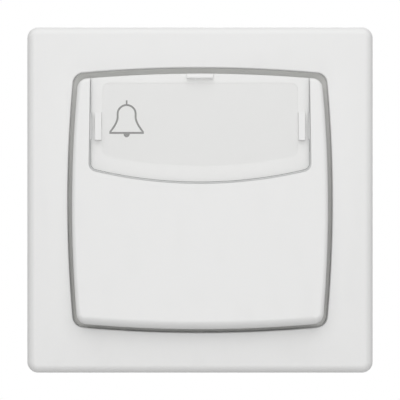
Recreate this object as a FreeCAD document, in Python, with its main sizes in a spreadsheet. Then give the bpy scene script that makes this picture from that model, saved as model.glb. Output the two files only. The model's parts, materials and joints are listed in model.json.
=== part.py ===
import FreeCAD, Part
import math
import os
import re

import Sketcher

# Flush doorbell push button for a round wall box, with a label window in its rocker.
# Millimetres. X runs to the right, Z up, and the front faces -Y. The origin is the middle
# of the wall plane, on which the support ring's back and the cover frame's rear rim lie.

Vector = FreeCAD.Vector
Placement = FreeCAD.Placement
Rotation = FreeCAD.Rotation
Constraint = Sketcher.Constraint

SIZES = {
    "frame_margin": (11.0, "cover frame, from a box screw's centre to the outer side"),
    "frame_depth": (10.2, "cover frame, wall to front face"),
    "frame_corner": (2.6, "cover frame, corner radius of the outline"),
    "frame_edge": (1.9, "cover frame, rounding of the outer front edge"),
    "frame_front": (2.0, "cover frame, front wall"),
    "frame_wall": (1.8, "cover frame, side wall"),
    "hollow_corner": (0.8, "cover frame, corner radius inside"),
    "frame_band": (9.65, "cover frame, from its outer side to the middle of an opening's side"),
    "opening_bow": (312.0, "opening, radius of the bowed sides"),
    "opening_corner": (2.6, "opening, corner radius"),
    "opening_edge": (0.35, "opening, rounding of its front edge"),
    "collar_wall": (1.2, "collar behind the opening, wall"),
    "rib_thick": (1.0, "cover frame, stiffening rib"),
    "rib_deep": (0.9, "cover frame, how far a rib stands off the front wall"),
    "rib_apart": (11.0, "cover frame, distance of a rib from the middle of a side"),
    "leg_wide": (7.0, "snap leg, width"),
    "leg_thick": (1.4, "snap leg, thickness"),
    "leg_aside": (18.0, "snap leg, distance from the middle of a side"),
    "hook_reach": (0.9, "snap leg, how far its hook reaches under the bearing frame"),
    "hook_tall": (1.2, "snap leg, height of its hook"),
    "plate_sunk": (3.1, "bearing frame, how far its front face lies behind the cover frame's"),
    "plate_thick": (1.4, "bearing frame, plate"),
    "plate_margin": (1.2, "bearing frame, how far it reaches past the support ring"),
    "plate_corner": (3.0, "bearing frame, corner radius"),
    "plate_room": (5.5, "bearing frame, room between its window and the mechanism"),
    "plate_rim": (1.2, "bearing frame, rim that stands on the ring"),
    "plate_inset": (1.0, "bearing frame, rim inset from the edge"),
    "ring_margin": (5.0, "support ring, from a box screw's centre to its edge"),
    "ring_thick": (1.0, "support ring, sheet"),
    "ring_corner": (5.0, "support ring, corner radius"),
    "screw_spacing": (60.0, "box screws, distance between centres"),
    "box_hole": (1.8, "box screws, radius of hole and slot ends"),
    "slot_long": (3.0, "box screws, distance between a slot's end centres"),
    "base_inset": (10.5, "mechanism base, from its side to a box screw's centre"),
    "base_taller": (0.5, "mechanism base, how much its half height is over its half width"),
    "base_deep": (20.0, "mechanism base, depth behind the wall plane"),
    "base_wall": (1.6, "mechanism base, side wall"),
    "base_floor": (2.0, "mechanism base, floor"),
    "base_corner": (6.0, "mechanism base, corner radius"),
    "cover_lap": (1.6, "mechanism cover, overlap on the ring"),
    "cover_thick": (1.6, "mechanism cover, plate"),
    "spigot_deep": (2.6, "mechanism cover, spigot behind the plate"),
    "spigot_wall": (1.3, "mechanism cover, spigot wall"),
    "fit_gap": (0.1, "clearance of parts that plug together"),
    "screw_fit": (0.05, "radial clearance of screws and of the plunger"),
    "post_inset": (6.3, "screw post, from the base's sides to its centre"),
    "post_radius": (2.3, "screw post, radius"),
    "tie_radius": (1.1, "cover screw, shank radius"),
    "tie_long": (9.0, "cover screw, shank length"),
    "tie_head": (2.0, "cover screw, head radius"),
    "tie_rise": (1.2, "cover screw, head height"),
    "pivot_sunk": (3.4, "pivot axis, how far it lies behind the cover frame's front face"),
    "rest_tilt": (3.25, "tilt of the rocker at rest, degrees"),
    "pin_radius": (1.5, "yoke pin, radius"),
    "pin_play": (0.06, "yoke pin, radial clearance in its ear"),
    "ear_inset": (3.1, "bearing ear, from the base's side to the ear's inner face"),
    "ear_thick": (2.0, "bearing ear, thickness"),
    "ear_share": (1.5, "bearing ear, how often its radius goes into the axis' height over the cover"),
    "side_play": (0.2, "yoke, clearance to each ear"),
    "yoke_thick": (1.6, "yoke, plate"),
    "yoke_inset": (6.0, "yoke, from the base's upper side to the yoke's"),
    "cheek_thick": (1.6, "yoke, side cheek"),
    "stop_inset": (1.4, "yoke stops, from the yoke's upper side to their middle"),
    "stop_thick": (1.6, "yoke stops, thickness"),
    "nose_radius": (1.0, "yoke nose on the plunger, radius"),
    "nose_half": (1.6, "yoke nose on the plunger, half width"),
    "nose_gap": (0.03, "yoke nose, clearance to the plunger"),
    "stop_half": (5.0, "yoke stops, half width"),
    "stop_gap": (0.05, "yoke stops, clearance at the end of the travel"),
    "rocker_rise": (2.9, "rocker, front face proud of the cover frame at the axis"),
    "rocker_gap": (1.2, "rocker, gap to the opening"),
    "rocker_drop": (0.5, "rocker, offset of its outline below the axis"),
    "rocker_corner": (2.5, "rocker, corner radius"),
    "rocker_skirt": (4.0, "rocker, depth of its skirt"),
    "rocker_wall": (1.6, "rocker, skirt wall"),
    "rocker_front": (2.0, "rocker, front wall"),
    "rocker_edge": (1.0, "rocker, rounding at top and sides"),
    "rocker_lip": (2.1, "rocker, rounding at the pressed edge"),
    "rib_place": (10.0, "rocker, distance of its inner ribs from the middle"),
    "catch_place": (5.6, "rocker catch, distance from the middle"),
    "catch_wide": (5.0, "rocker catch, width"),
    "catch_thick": (1.3, "rocker catch, thickness"),
    "catch_nose": (0.7, "rocker catch, nose"),
    "window_margin": (4.37, "label window, from the rocker's side to its own"),
    "window_low": (3.85, "label window, lowest point above the axis"),
    "window_bow": (106.0, "label window, radius of its lower edge"),
    "window_corner": (1.6, "label window, lower corner radius"),
    "window_thick": (1.2, "label window, thickness"),
    "window_gap": (0.4, "label window, groove round it"),
    "notch_deep": (0.3, "finger-nail notch, depth"),
    "notch_tall": (6.3, "finger-nail notch, height"),
    "lug_inset": (1.78, "side lug, from the window's side to the lug's middle"),
    "lug_height": (17.1, "side lugs and notches, height above the axis"),
    "lug_wide": (1.5, "side lug, width"),
    "lug_tall": (6.6, "side lug, height"),
    "lug_play": (0.15, "lugs, clearance in the window"),
    "clip_half": (3.1, "top clip, half width"),
    "clip_deep": (1.15, "top clip, depth from the rocker's top edge"),
    "card_inset": (2.78, "label card, from the window's side to its own"),
    "card_above": (3.95, "label card, from the window's lowest point to its own"),
    "card_below": (2.35, "label card, from the rocker's top edge to its own"),
    "card_corner": (1.6, "label card, corner radius"),
    "card_thick": (0.35, "label card, thickness"),
    "card_bow": (104.0, "label card, radius of its lower edge"),
    "card_play": (0.1, "label card, clearance round it"),
    "card_lie": (0.05, "label card, clearance behind it"),
    "floor_thick": (1.0, "rocker, wall behind the label card"),
    "floor_margin": (1.0, "rocker, how far that wall reaches past the label card"),
    "plunger_drop": (9.0, "plunger, distance below the axis"),
    "plunger_radius": (2.2, "plunger, stem radius"),
    "plunger_sunk": (2.1, "plunger, how far its front end lies behind the pivot axis"),
    "plunger_back": (9.4, "plunger, rear end behind the wall plane"),
    "collar_front": (4.0, "plunger, front of its collar behind the wall plane"),
    "collar_thick": (1.2, "plunger, collar"),
    "collar_radius": (3.6, "plunger, collar radius"),
    "guide_radius": (3.6, "plunger guide, outer radius"),
    "bridge_half": (9.6, "contact bridge, half length"),
    "bridge_wide": (4.2, "contact bridge, width"),
    "bridge_thick": (0.5, "contact bridge, thickness"),
    "contact_place": (8.0, "contacts and terminals, distance from the middle"),
    "rivet_radius": (1.2, "contact rivet, radius"),
    "rivet_rise": (0.7, "contact rivet, height"),
    "travel_spare": (0.05, "contacts, clearance left at full travel"),
    "strip_wide": (4.0, "fixed contact, strip width"),
    "strip_thick": (0.8, "fixed contact, strip thickness"),
    "pedestal_inset": (0.4, "pedestal behind a fixed contact, inset from the strip's sides"),
    "spring_radius": (3.1, "return spring, mean radius"),
    "spring_wire": (0.25, "return spring, wire radius"),
    "spring_turns": (4.5, "return spring, number of turns"),
    "seat_height": (4.0, "spring seat, height above the floor"),
    "seat_pin": (1.5, "spring seat, height of its pin"),
    "seat_margin": (1.0, "spring seat, how far it reaches past the spring"),
    "seat_play": (0.4, "spring seat, clearance of its pin in the spring"),
    "clamp_low": (4.4, "terminal clamp, lower face above the middle"),
    "clamp_tall": (6.6, "terminal clamp, height"),
    "clamp_wide": (6.4, "terminal clamp, width"),
    "clamp_deep": (5.5, "terminal clamp, depth"),
    "clamp_front": (9.6, "terminal clamp, front face behind the wall plane"),
    "clamp_sheet": (0.8, "terminal clamp, sheet"),
    "wire_radius": (1.7, "wire entry, radius"),
    "terminal_radius": (1.5, "terminal screw, shank radius"),
    "terminal_long": (6.0, "terminal screw, shank length"),
    "terminal_head": (2.4, "terminal screw, head radius"),
    "terminal_rise": (2.0, "terminal screw, head height"),
    "driver_room": (0.4, "driver hole, radial clearance round the terminal screw's head"),
    "claw_aside": (3.5, "claw screw, from the base's side to its centre"),
    "claw_screw_radius": (1.45, "claw screw, shank radius"),
    "claw_screw_past": (0.7, "claw screw, how far its end stands out of the nut"),
    "claw_screw_head": (2.4, "claw screw, head radius"),
    "claw_screw_rise": (1.6, "claw screw, head height"),
    "ramp_rise": (5.0, "claw ramp, how far it stands out at the front"),
    "ramp_front": (1.0, "claw ramp, front end behind the wall plane"),
    "ramp_long": (16.0, "claw ramp, length"),
    "ramp_wide": (2.2, "claw ramp, width of each rib"),
    "ramp_inner": (3.0, "claw ramp, inner side of a rib from the middle"),
    "claw_gap": (0.1, "claw, clearance to its ramp"),
    "claw_sheet": (1.4, "claw, sheet"),
    "claw_front": (10.0, "claw, front end of its shoe behind the wall plane"),
    "claw_back": (15.0, "claw, rear face behind the wall plane"),
    "claw_reach": (6.4, "claw, foot length across"),
    "claw_tooth": (1.3, "claw, tooth height"),
    "nut_side": (5.5, "claw nut, width across flats"),
    "nut_thick": (1.8, "claw nut, thickness"),
    "cut_past": (1.0, "how far a cutting tool reaches past the solid"),
    "join_in": (0.5, "how far a joined piece reaches into its neighbour"),
}

# Sizes that follow from others: the wall box's screws set the mechanism and the frame, and the
# frame sets the rocker and its label
FRAME_HALF = "(screw_spacing / 2 + frame_margin)"
OPENING_HALF = f"({FRAME_HALF} - frame_band)"
RING_HALF = "(screw_spacing / 2 + ring_margin)"
PLATE_HALF = f"({RING_HALF} + plate_margin)"
PLATE_FRONT = "(frame_depth - plate_sunk)"
PIVOT_FRONT = "(frame_depth - pivot_sunk)"
BASE_WIDE = "(screw_spacing / 2 - base_inset)"
BASE_TALL = f"({BASE_WIDE} + base_taller)"
PLATE_WINDOW = f"({BASE_TALL} + plate_room)"
POST_X = f"({BASE_WIDE} - post_inset)"
POST_Z = f"({BASE_TALL} - post_inset)"
CLAW_SCREW_X = f"({BASE_WIDE} + claw_aside)"
CLAW_SCREW_END = "(claw_back + nut_thick + claw_screw_past)"
EAR_INNER = f"({BASE_WIDE} - ear_inset)"
EAR_RADIUS = f"(({PIVOT_FRONT} - ring_thick - cover_thick) / ear_share)"
YOKE_HALF = f"({BASE_TALL} - yoke_inset)"
STOP_PLACE = f"({YOKE_HALF} - stop_inset)"
ROCKER_HALF = f"({OPENING_HALF} - rocker_gap)"
ROCKER_TOP = f"({ROCKER_HALF} - rocker_drop)"
WINDOW_HALF = f"({ROCKER_HALF} - window_margin)"
LUG_PLACE = f"({WINDOW_HALF} - lug_inset)"
CARD_HALF = f"({WINDOW_HALF} - card_inset)"
CARD_LOW = "(window_low + card_above)"
CARD_TOP = f"({ROCKER_TOP} - card_below)"

# Levels that several sub-parts share: the rocker's are in front of the pivot axis, the contacts'
# are behind the wall plane and the terminals' above the middle
ROCKER_FRONT = "(pivot_sunk + rocker_rise)"
RECESS_FLOOR = f"({ROCKER_FRONT} - window_thick)"
SEAT_FLOOR = f"({RECESS_FLOOR} - card_thick - card_lie)"
YOKE_FRONT = f"({SEAT_FLOOR} - floor_thick - stop_gap)"
PLUNGER_TRAVEL = "(2 * plunger_drop * sin(rest_tilt))"
BRIDGE_BACK = "(collar_front + collar_thick + bridge_thick)"
CONTACT_LEVEL = f"({BRIDGE_BACK} + rivet_rise + {PLUNGER_TRAVEL} + travel_spare)"
SEAT_FRONT = "(base_deep - base_floor - seat_height)"
TONGUE_TOP = "(clamp_low + clamp_sheet + strip_thick)"
WIRE_HEIGHT = f"({TONGUE_TOP} + wire_radius)"
CLAMP_MIDDLE = "(clamp_front + clamp_deep / 2)"

document = FreeCAD.newDocument("doorbell_push")
sheet = document.addObject("Spreadsheet::Sheet", "sizes")
for row, (alias, (amount, meaning)) in enumerate(SIZES.items(), 1):
    sheet.set(f"A{row}", meaning)
    sheet.set(f"B{row}", str(amount))
    sheet.setAlias(f"B{row}", alias)
document.recompute()


# Expressions and primitives

def bound(text):
    """An expression in which each size's name stands for its cell in the sheet."""
    return re.sub(r"\b[a-z]+(_[a-z]+)+\b", lambda match: f"sizes.{match.group()}", text)


def value(text):
    """The present value of an expression."""
    found = sheet.evalExpression(bound(text))
    return getattr(found, "Value", found)


def set_size(thing, field, text):
    """Bind one field of an object to an expression."""
    thing.setExpression(field, bound(text))


def box(name, x, y, z):
    """A block between the low and high end given for each axis."""
    block = document.addObject("Part::Box", name)
    fields = ("Length", "Width", "Height")
    for field, axis, (low, high) in zip(fields, "xyz", (x, y, z)):
        set_size(block, field, f"({high}) - ({low})")
        set_size(block, f"Placement.Base.{axis}", low)
    return block


def cylinder(name, axis, radius, low, high, centre):
    """A cylinder along an axis, at the centre given for the other two axes."""
    turns = {"x": Rotation(Vector(0, 1, 0), 90), "y": Rotation(Vector(1, 0, 0), -90), "z": Rotation()}
    rod = document.addObject("Part::Cylinder", name)
    rod.Placement = Placement(Vector(), turns[axis])
    set_size(rod, "Radius", radius)
    set_size(rod, "Height", f"({high}) - ({low})")
    others = [letter for letter in "xyz" if letter != axis]
    for letter, place in zip((axis, *others), (low, *centre)):
        set_size(rod, f"Placement.Base.{letter}", place)
    return rod


def fuse(name, *pieces):
    """Several solids joined into one."""
    joined = document.addObject("Part::MultiFuse", name)
    joined.Shapes = list(pieces)
    joined.Refine = True
    return joined


def cut(name, base, *tools):
    """A solid less its tools."""
    result = document.addObject("Part::Cut", name)
    result.Base = base
    result.Tool = tools[0] if len(tools) == 1 else fuse(f"{name}_tools", *tools)
    result.Refine = True
    return result


def common(name, first, second):
    """What two solids share."""
    shared = document.addObject("Part::MultiCommon", name)
    shared.Shapes = [first, second]
    return shared


def mirror(name, source):
    """The same solid on the other side of the middle plane."""
    copy = document.addObject("Part::Mirroring", name)
    copy.Source = source
    copy.Normal = Vector(1, 0, 0)
    return copy


def both_sides(name, piece):
    """A solid and its mirror image as one object."""
    return fuse(f"{name}_pair", piece, mirror(f"{name}_mirrored", piece))


# Sketches on planes that face the front: their x is X and their y is Z

def new_sketch(name, body=None, forward="0"):
    """An empty sketch, a distance in front of the wall plane."""
    if body is None:
        sketch = document.addObject("Sketcher::SketchObject", name)
        sketch.Placement = Placement(Vector(), Rotation(Vector(1, 0, 0), 90))
        set_size(sketch, "Placement.Base.y", f"-({forward})")
        return sketch
    plane = [item for item in body.Origin.OriginFeatures if item.Role == "XZ_Plane"][0]
    sketch = body.newObject("Sketcher::SketchObject", name)
    sketch.AttachmentSupport = [(plane, "")]
    sketch.MapMode = "FlatFace"
    set_size(sketch, "AttachmentOffset.Base.z", forward)
    return sketch


def constrain(sketch, text, kind, *where):
    """A dimension of a sketch, bound to an expression."""
    index = sketch.addConstraint(Constraint(kind, *where, value(text)))
    set_size(sketch, f"Constraints[{index}]", text)


def join_tangent(sketch, count):
    """Join each element's end to the next one's start without a kink."""
    for index in range(count):
        sketch.addConstraint(Constraint("Tangent", index, 2, (index + 1) % count, 1))


def pillow(sketch, half, bow, corner):
    """A square with bowed sides and round corners, about the sketch's origin."""
    bow_value = value(bow)
    corner_value = value(corner)
    shift = bow_value - value(half)
    reach = bow_value - corner_value
    middle = (math.sqrt(2 * reach ** 2 - shift ** 2) - shift) / 2
    turn = math.pi / 2 - math.atan2(middle + shift, middle)
    for quarter in range(4):
        facing = quarter * math.pi / 2
        side_centre = Vector(-shift * math.cos(facing), -shift * math.sin(facing), 0)
        side = Part.Circle(side_centre, Vector(0, 0, 1), bow_value)
        sketch.addGeometry(Part.ArcOfCircle(side, facing - turn, facing + turn))
        diagonal = facing + math.pi / 4
        corner_centre = Vector(math.cos(diagonal), math.sin(diagonal), 0) * middle * math.sqrt(2)
        round_corner = Part.Circle(corner_centre, Vector(0, 0, 1), corner_value)
        sketch.addGeometry(Part.ArcOfCircle(round_corner, facing + turn, facing + math.pi / 2 - turn))
    join_tangent(sketch, 8)
    constrain(sketch, bow, "Radius", 0)
    constrain(sketch, corner, "Radius", 1)
    for index in (2, 4, 6):
        sketch.addConstraint(Constraint("Equal", 0, index))
        sketch.addConstraint(Constraint("Equal", 1, index + 1))
    offset = f"({bow}) - ({half})"
    for index, axis, kind in ((0, -1, "DistanceX"), (2, -2, "DistanceY")):
        opposite = index + 4
        sketch.addConstraint(Constraint("PointOnObject", index, 3, axis))
        sketch.addConstraint(Constraint("PointOnObject", opposite, 3, axis))
        constrain(sketch, offset, kind, index, 3, -1, 1)
        constrain(sketch, offset, kind, -1, 1, opposite, 3)
    return sketch


def rounded_rectangle(sketch, half_x, half_z, corner):
    """A rectangle with round corners, about the sketch's origin."""
    wide = value(half_x)
    tall = value(half_z)
    radius = value(corner)
    inner_x = wide - radius
    inner_z = tall - radius
    starts = ((wide, -inner_z), (inner_x, tall), (-wide, inner_z), (-inner_x, -tall))
    ends = ((wide, inner_z), (-inner_x, tall), (-wide, -inner_z), (inner_x, -tall))
    centres = ((inner_x, inner_z), (-inner_x, inner_z), (-inner_x, -inner_z), (inner_x, -inner_z))
    for quarter in range(4):
        start = Vector(*starts[quarter], 0)
        sketch.addGeometry(Part.LineSegment(start, Vector(*ends[quarter], 0)))
        arc = Part.Circle(Vector(*centres[quarter], 0), Vector(0, 0, 1), radius)
        turn = quarter * math.pi / 2
        sketch.addGeometry(Part.ArcOfCircle(arc, turn, turn + math.pi / 2))
    join_tangent(sketch, 8)
    sketch.addConstraint(Constraint("Vertical", 0))
    sketch.addConstraint(Constraint("Horizontal", 2))
    constrain(sketch, corner, "Radius", 1)
    for index in (3, 5, 7):
        sketch.addConstraint(Constraint("Equal", 1, index))
    constrain(sketch, half_x, "DistanceX", -1, 1, 0, 1)
    constrain(sketch, half_x, "DistanceX", 4, 1, -1, 1)
    constrain(sketch, half_z, "DistanceY", -1, 1, 2, 1)
    constrain(sketch, half_z, "DistanceY", 6, 1, -1, 1)
    return sketch


def label_outline(sketch, half, low, bow, corner, top):
    """Upright sides, round corners and a lower edge bowed downwards."""
    wide = value(half)
    radius = value(bow)
    small = value(corner)
    high = value(top) - small
    across = wide - small
    bow_centre = Vector(0, value(low) + radius, 0)
    side_foot = bow_centre.y - math.sqrt((radius - small) ** 2 - across ** 2)
    turn = math.atan2(side_foot - bow_centre.y, across)
    full = 2 * math.pi

    def line(start, end):
        sketch.addGeometry(Part.LineSegment(Vector(*start, 0), Vector(*end, 0)))

    def arc(centre, size, start, end):
        circle = Part.Circle(Vector(*centre, 0), Vector(0, 0, 1), size)
        sketch.addGeometry(Part.ArcOfCircle(circle, start, end))

    line((across, high + small), (-across, high + small))
    arc((-across, high), small, full / 4, full / 2)
    line((-wide, high), (-wide, side_foot))
    arc((-across, side_foot), small, full / 2, full / 2 - turn)
    arc((0, bow_centre.y), radius, full / 2 - turn, full + turn)
    arc((across, side_foot), small, full + turn, full)
    line((wide, side_foot), (wide, high))
    arc((across, high), small, 0, full / 4)
    join_tangent(sketch, 8)
    sketch.addConstraint(Constraint("Horizontal", 0))
    sketch.addConstraint(Constraint("Vertical", 2))
    sketch.addConstraint(Constraint("Vertical", 6))
    for index in (3, 5, 7):
        sketch.addConstraint(Constraint("Equal", 1, index))
    sketch.addConstraint(Constraint("PointOnObject", 4, 3, -2))
    constrain(sketch, corner, "Radius", 1)
    constrain(sketch, bow, "Radius", 4)
    constrain(sketch, half, "DistanceX", -1, 1, 6, 1)
    constrain(sketch, half, "DistanceX", 2, 1, -1, 1)
    constrain(sketch, top, "DistanceY", -1, 1, 0, 1)
    constrain(sketch, f"({low}) + ({bow})", "DistanceY", -1, 1, 4, 3)
    return sketch


def extrude(name, sketch, low, high):
    """A sketch on the wall plane drawn out between two places on the Y axis."""
    solid = document.addObject("Part::Extrusion", name)
    solid.Base = sketch
    solid.DirMode = "Custom"
    solid.Dir = Vector(0, -1, 0)
    solid.Solid = True
    set_size(solid, "LengthFwd", f"-({low})")
    set_size(solid, "LengthRev", high)
    return solid


def rounded_block(name, half_x, half_z, corner, low, high):
    """A block with round upright edges, between two places on the Y axis."""
    sketch = rounded_rectangle(new_sketch(f"{name}_outline"), half_x, half_z, corner)
    return extrude(name, sketch, low, high)


# PartDesign features

def pad(body, sketch, length):
    """Material added in front of a sketch."""
    feature = body.newObject("PartDesign::Pad", f"{sketch.Name}_pad")
    feature.Profile = sketch
    set_size(feature, "Length", length)
    return feature


def pocket(body, sketch, length):
    """Material removed in front of a sketch."""
    feature = body.newObject("PartDesign::Pocket", f"{sketch.Name}_pocket")
    feature.Profile = sketch
    feature.Reversed = True
    set_size(feature, "Length", length)
    return feature


def rectangle(sketch, x, z):
    """A rectangle between the low and high ends given across and up."""
    (left, right), (low, high) = x, z
    corners = [(left, low), (right, low), (right, high), (left, high)]
    points = [Vector(value(across), value(up), 0) for across, up in corners]
    for index in range(4):
        sketch.addGeometry(Part.LineSegment(points[index], points[(index + 1) % 4]))
    for index in range(4):
        sketch.addConstraint(Constraint("Coincident", index, 2, (index + 1) % 4, 1))
    for index in (0, 2):
        sketch.addConstraint(Constraint("Horizontal", index))
        sketch.addConstraint(Constraint("Vertical", index + 1))
    constrain(sketch, left, "DistanceX", -1, 1, 0, 1)
    constrain(sketch, low, "DistanceY", -1, 1, 0, 1)
    constrain(sketch, f"({right}) - ({left})", "DistanceX", 0, 1, 0, 2)
    constrain(sketch, f"({high}) - ({low})", "DistanceY", 1, 1, 1, 2)
    return sketch


def polar(body, name, originals, count):
    """Features repeated round the Y axis."""
    axis = [item for item in body.Origin.OriginFeatures if item.Role == "Y_Axis"][0]
    pattern = body.newObject("PartDesign::PolarPattern", name)
    pattern.Originals = originals
    pattern.Axis = (axis, [""])
    pattern.Angle = 360
    pattern.Occurrences = count
    body.Tip = pattern
    return pattern


def edges_at(shape, place, wanted):
    """Numbers of the edges that lie at a place on the Y axis and pass a test."""
    found = []
    for number, edge in enumerate(shape.Edges, 1):
        limits = edge.BoundBox
        level = abs(limits.YMin - place) < 0.01 and abs(limits.YMax - place) < 0.01
        if level and wanted(limits):
            found.append(number)
    return found


def round_edges(body, name, numbers, radius):
    """A fillet on numbered edges of the body's last feature."""
    base = body.Tip
    feature = body.newObject("PartDesign::Fillet", name)
    feature.Base = (base, [f"Edge{number}" for number in numbers])
    set_size(feature, "Radius", radius)
    return feature


# The moulded cover frame: a hollow square with a bowed opening and a collar behind it

def make_cover_frame():
    body = document.addObject("PartDesign::Body", "cover_frame")
    outline = new_sketch("frame_outline", body)
    rounded_rectangle(outline, FRAME_HALF, FRAME_HALF, "frame_corner")
    pad(body, outline, "frame_depth")
    document.recompute()
    front = edges_at(body.Shape, -value("frame_depth"), lambda limits: True)
    round_edges(body, "frame_front_edge", front, "frame_edge")

    hollow = new_sketch("frame_hollow", body)
    inner = f"{FRAME_HALF} - frame_wall"
    rounded_rectangle(hollow, inner, inner, "hollow_corner")
    pocket(body, hollow, "frame_depth - frame_front")

    collar = new_sketch("frame_collar", body, PLATE_FRONT)
    collar_sizes = [f"{size} + collar_wall" for size in (OPENING_HALF, "opening_bow", "opening_corner")]
    pillow(collar, *collar_sizes)
    pad(body, collar, f"frame_depth - {PLATE_FRONT} - frame_front / 2")

    ribs = []
    for word, low in (("upper", "rib_apart"), ("lower", "-rib_apart - rib_thick")):
        rib = new_sketch(f"frame_rib_{word}", body, "frame_depth - frame_front - rib_deep")
        rectangle(rib, (OPENING_HALF, f"{FRAME_HALF} - frame_wall / 2"), (low, f"{low} + rib_thick"))
        ribs.append(pad(body, rib, "rib_deep + frame_front / 2"))
    polar(body, "frame_ribs", ribs, 4)

    leg_end = f"{PLATE_FRONT} - plate_thick - fit_gap - hook_tall"
    leg_face = f"{PLATE_HALF} + fit_gap"
    along = ("leg_aside - leg_wide / 2", "leg_aside + leg_wide / 2")
    leg = new_sketch("frame_leg", body, leg_end)
    rectangle(leg, (leg_face, f"{leg_face} + leg_thick"), along)
    leg_pad = pad(body, leg, f"frame_depth - frame_front / 2 - ({leg_end})")
    hook = new_sketch("frame_hook", body, leg_end)
    rectangle(hook, (f"{leg_face} - hook_reach", f"{leg_face} + leg_thick"), along)
    hook_pad = pad(body, hook, "hook_tall")
    polar(body, "frame_legs", [leg_pad, hook_pad], 4)

    opening = new_sketch("frame_opening", body)
    pillow(opening, OPENING_HALF, "opening_bow", "opening_corner")
    pocket(body, opening, "frame_depth + cut_past")
    document.recompute()
    reach = value(f"{OPENING_HALF} + collar_wall")

    def round_the_opening(limits):
        return max(limits.XMax, limits.ZMax, -limits.XMin, -limits.ZMin) < reach

    inside = edges_at(body.Shape, -value("frame_depth"), round_the_opening)
    round_edges(body, "frame_opening_edge", inside, "opening_edge")
    return body


# The bearing frame: a grey plate behind the opening that the cover frame snaps into

def make_bearing_frame():
    body = document.addObject("PartDesign::Body", "bearing_frame")
    back = f"{PLATE_FRONT} - plate_thick"
    plate = new_sketch("plate_outline", body, back)
    rounded_rectangle(plate, PLATE_HALF, PLATE_HALF, "plate_corner")
    pad(body, plate, "plate_thick")

    rim_half = f"{PLATE_HALF} - plate_inset"
    rim = new_sketch("plate_rim_outline", body, "ring_thick")
    rounded_rectangle(rim, rim_half, rim_half, "plate_corner")
    pad(body, rim, f"{back} - ring_thick")
    rim_hollow = new_sketch("plate_rim_hollow", body, "ring_thick")
    hollow_half = f"{rim_half} - plate_rim"
    rounded_rectangle(rim_hollow, hollow_half, hollow_half, "plate_corner - plate_rim")
    pocket(body, rim_hollow, f"{back} - ring_thick")

    inner = new_sketch("plate_inner_rim", body, "ring_thick")
    outer_window = f"{PLATE_WINDOW} + plate_rim"
    rounded_rectangle(inner, outer_window, outer_window, "plate_corner + plate_rim")
    pad(body, inner, f"{back} - ring_thick")
    window = new_sketch("plate_window_outline", body, "0")
    rounded_rectangle(window, PLATE_WINDOW, PLATE_WINDOW, "plate_corner")
    pocket(body, window, f"{PLATE_FRONT} + cut_past")
    return body


# The support ring: a plated steel square with holes for the box screws and the claw screws

def make_support_ring():
    through = ("-ring_thick - cut_past", "cut_past")
    sheet_metal = rounded_block("ring_sheet", RING_HALF, RING_HALF, "ring_corner", "-ring_thick", "0")
    opening = rounded_block(
        "ring_opening",
        f"{BASE_WIDE} - base_wall + fit_gap",
        f"{BASE_TALL} - base_wall + fit_gap",
        "base_corner - base_wall",
        *through,
    )
    half_spacing = "screw_spacing / 2"
    slot_span = (f"{half_spacing} - slot_long / 2", f"{half_spacing} + slot_long / 2")
    slot_ends = [
        cylinder(f"ring_slot_end_{word}", "y", "box_hole", *through, (place, "0"))
        for word, place in zip(("inner", "outer"), slot_span)
    ]
    slot_middle = box("ring_slot_middle", slot_span, through, ("-box_hole", "box_hole"))
    slots = both_sides("ring_slots", fuse("ring_slot", *slot_ends, slot_middle))
    claw_radius = "claw_screw_radius + fit_gap"
    claw_hole = cylinder("ring_claw_hole", "y", claw_radius, *through, (CLAW_SCREW_X, "0"))
    claw_holes = both_sides("ring_claw_holes", claw_hole)
    upper = cylinder("ring_upper_hole", "y", "box_hole", *through, ("0", half_spacing))
    lower = cylinder("ring_lower_hole", "y", "box_hole", *through, ("0", f"-({half_spacing})"))
    return cut("support_ring", sheet_metal, opening, slots, claw_holes, upper, lower)


# The mechanism: base with its terminals behind the ring, cover with its bearing ears in front

def four_posts(name, radius, low, high):
    """The same cylinder at the four cover screws."""
    right = [
        cylinder(f"{name}_{word}", "y", radius, low, high, (POST_X, f"{sign}{POST_Z}"))
        for word, sign in (("upper", ""), ("lower", "-"))
    ]
    return both_sides(name, fuse(f"{name}_right", *right))


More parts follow.
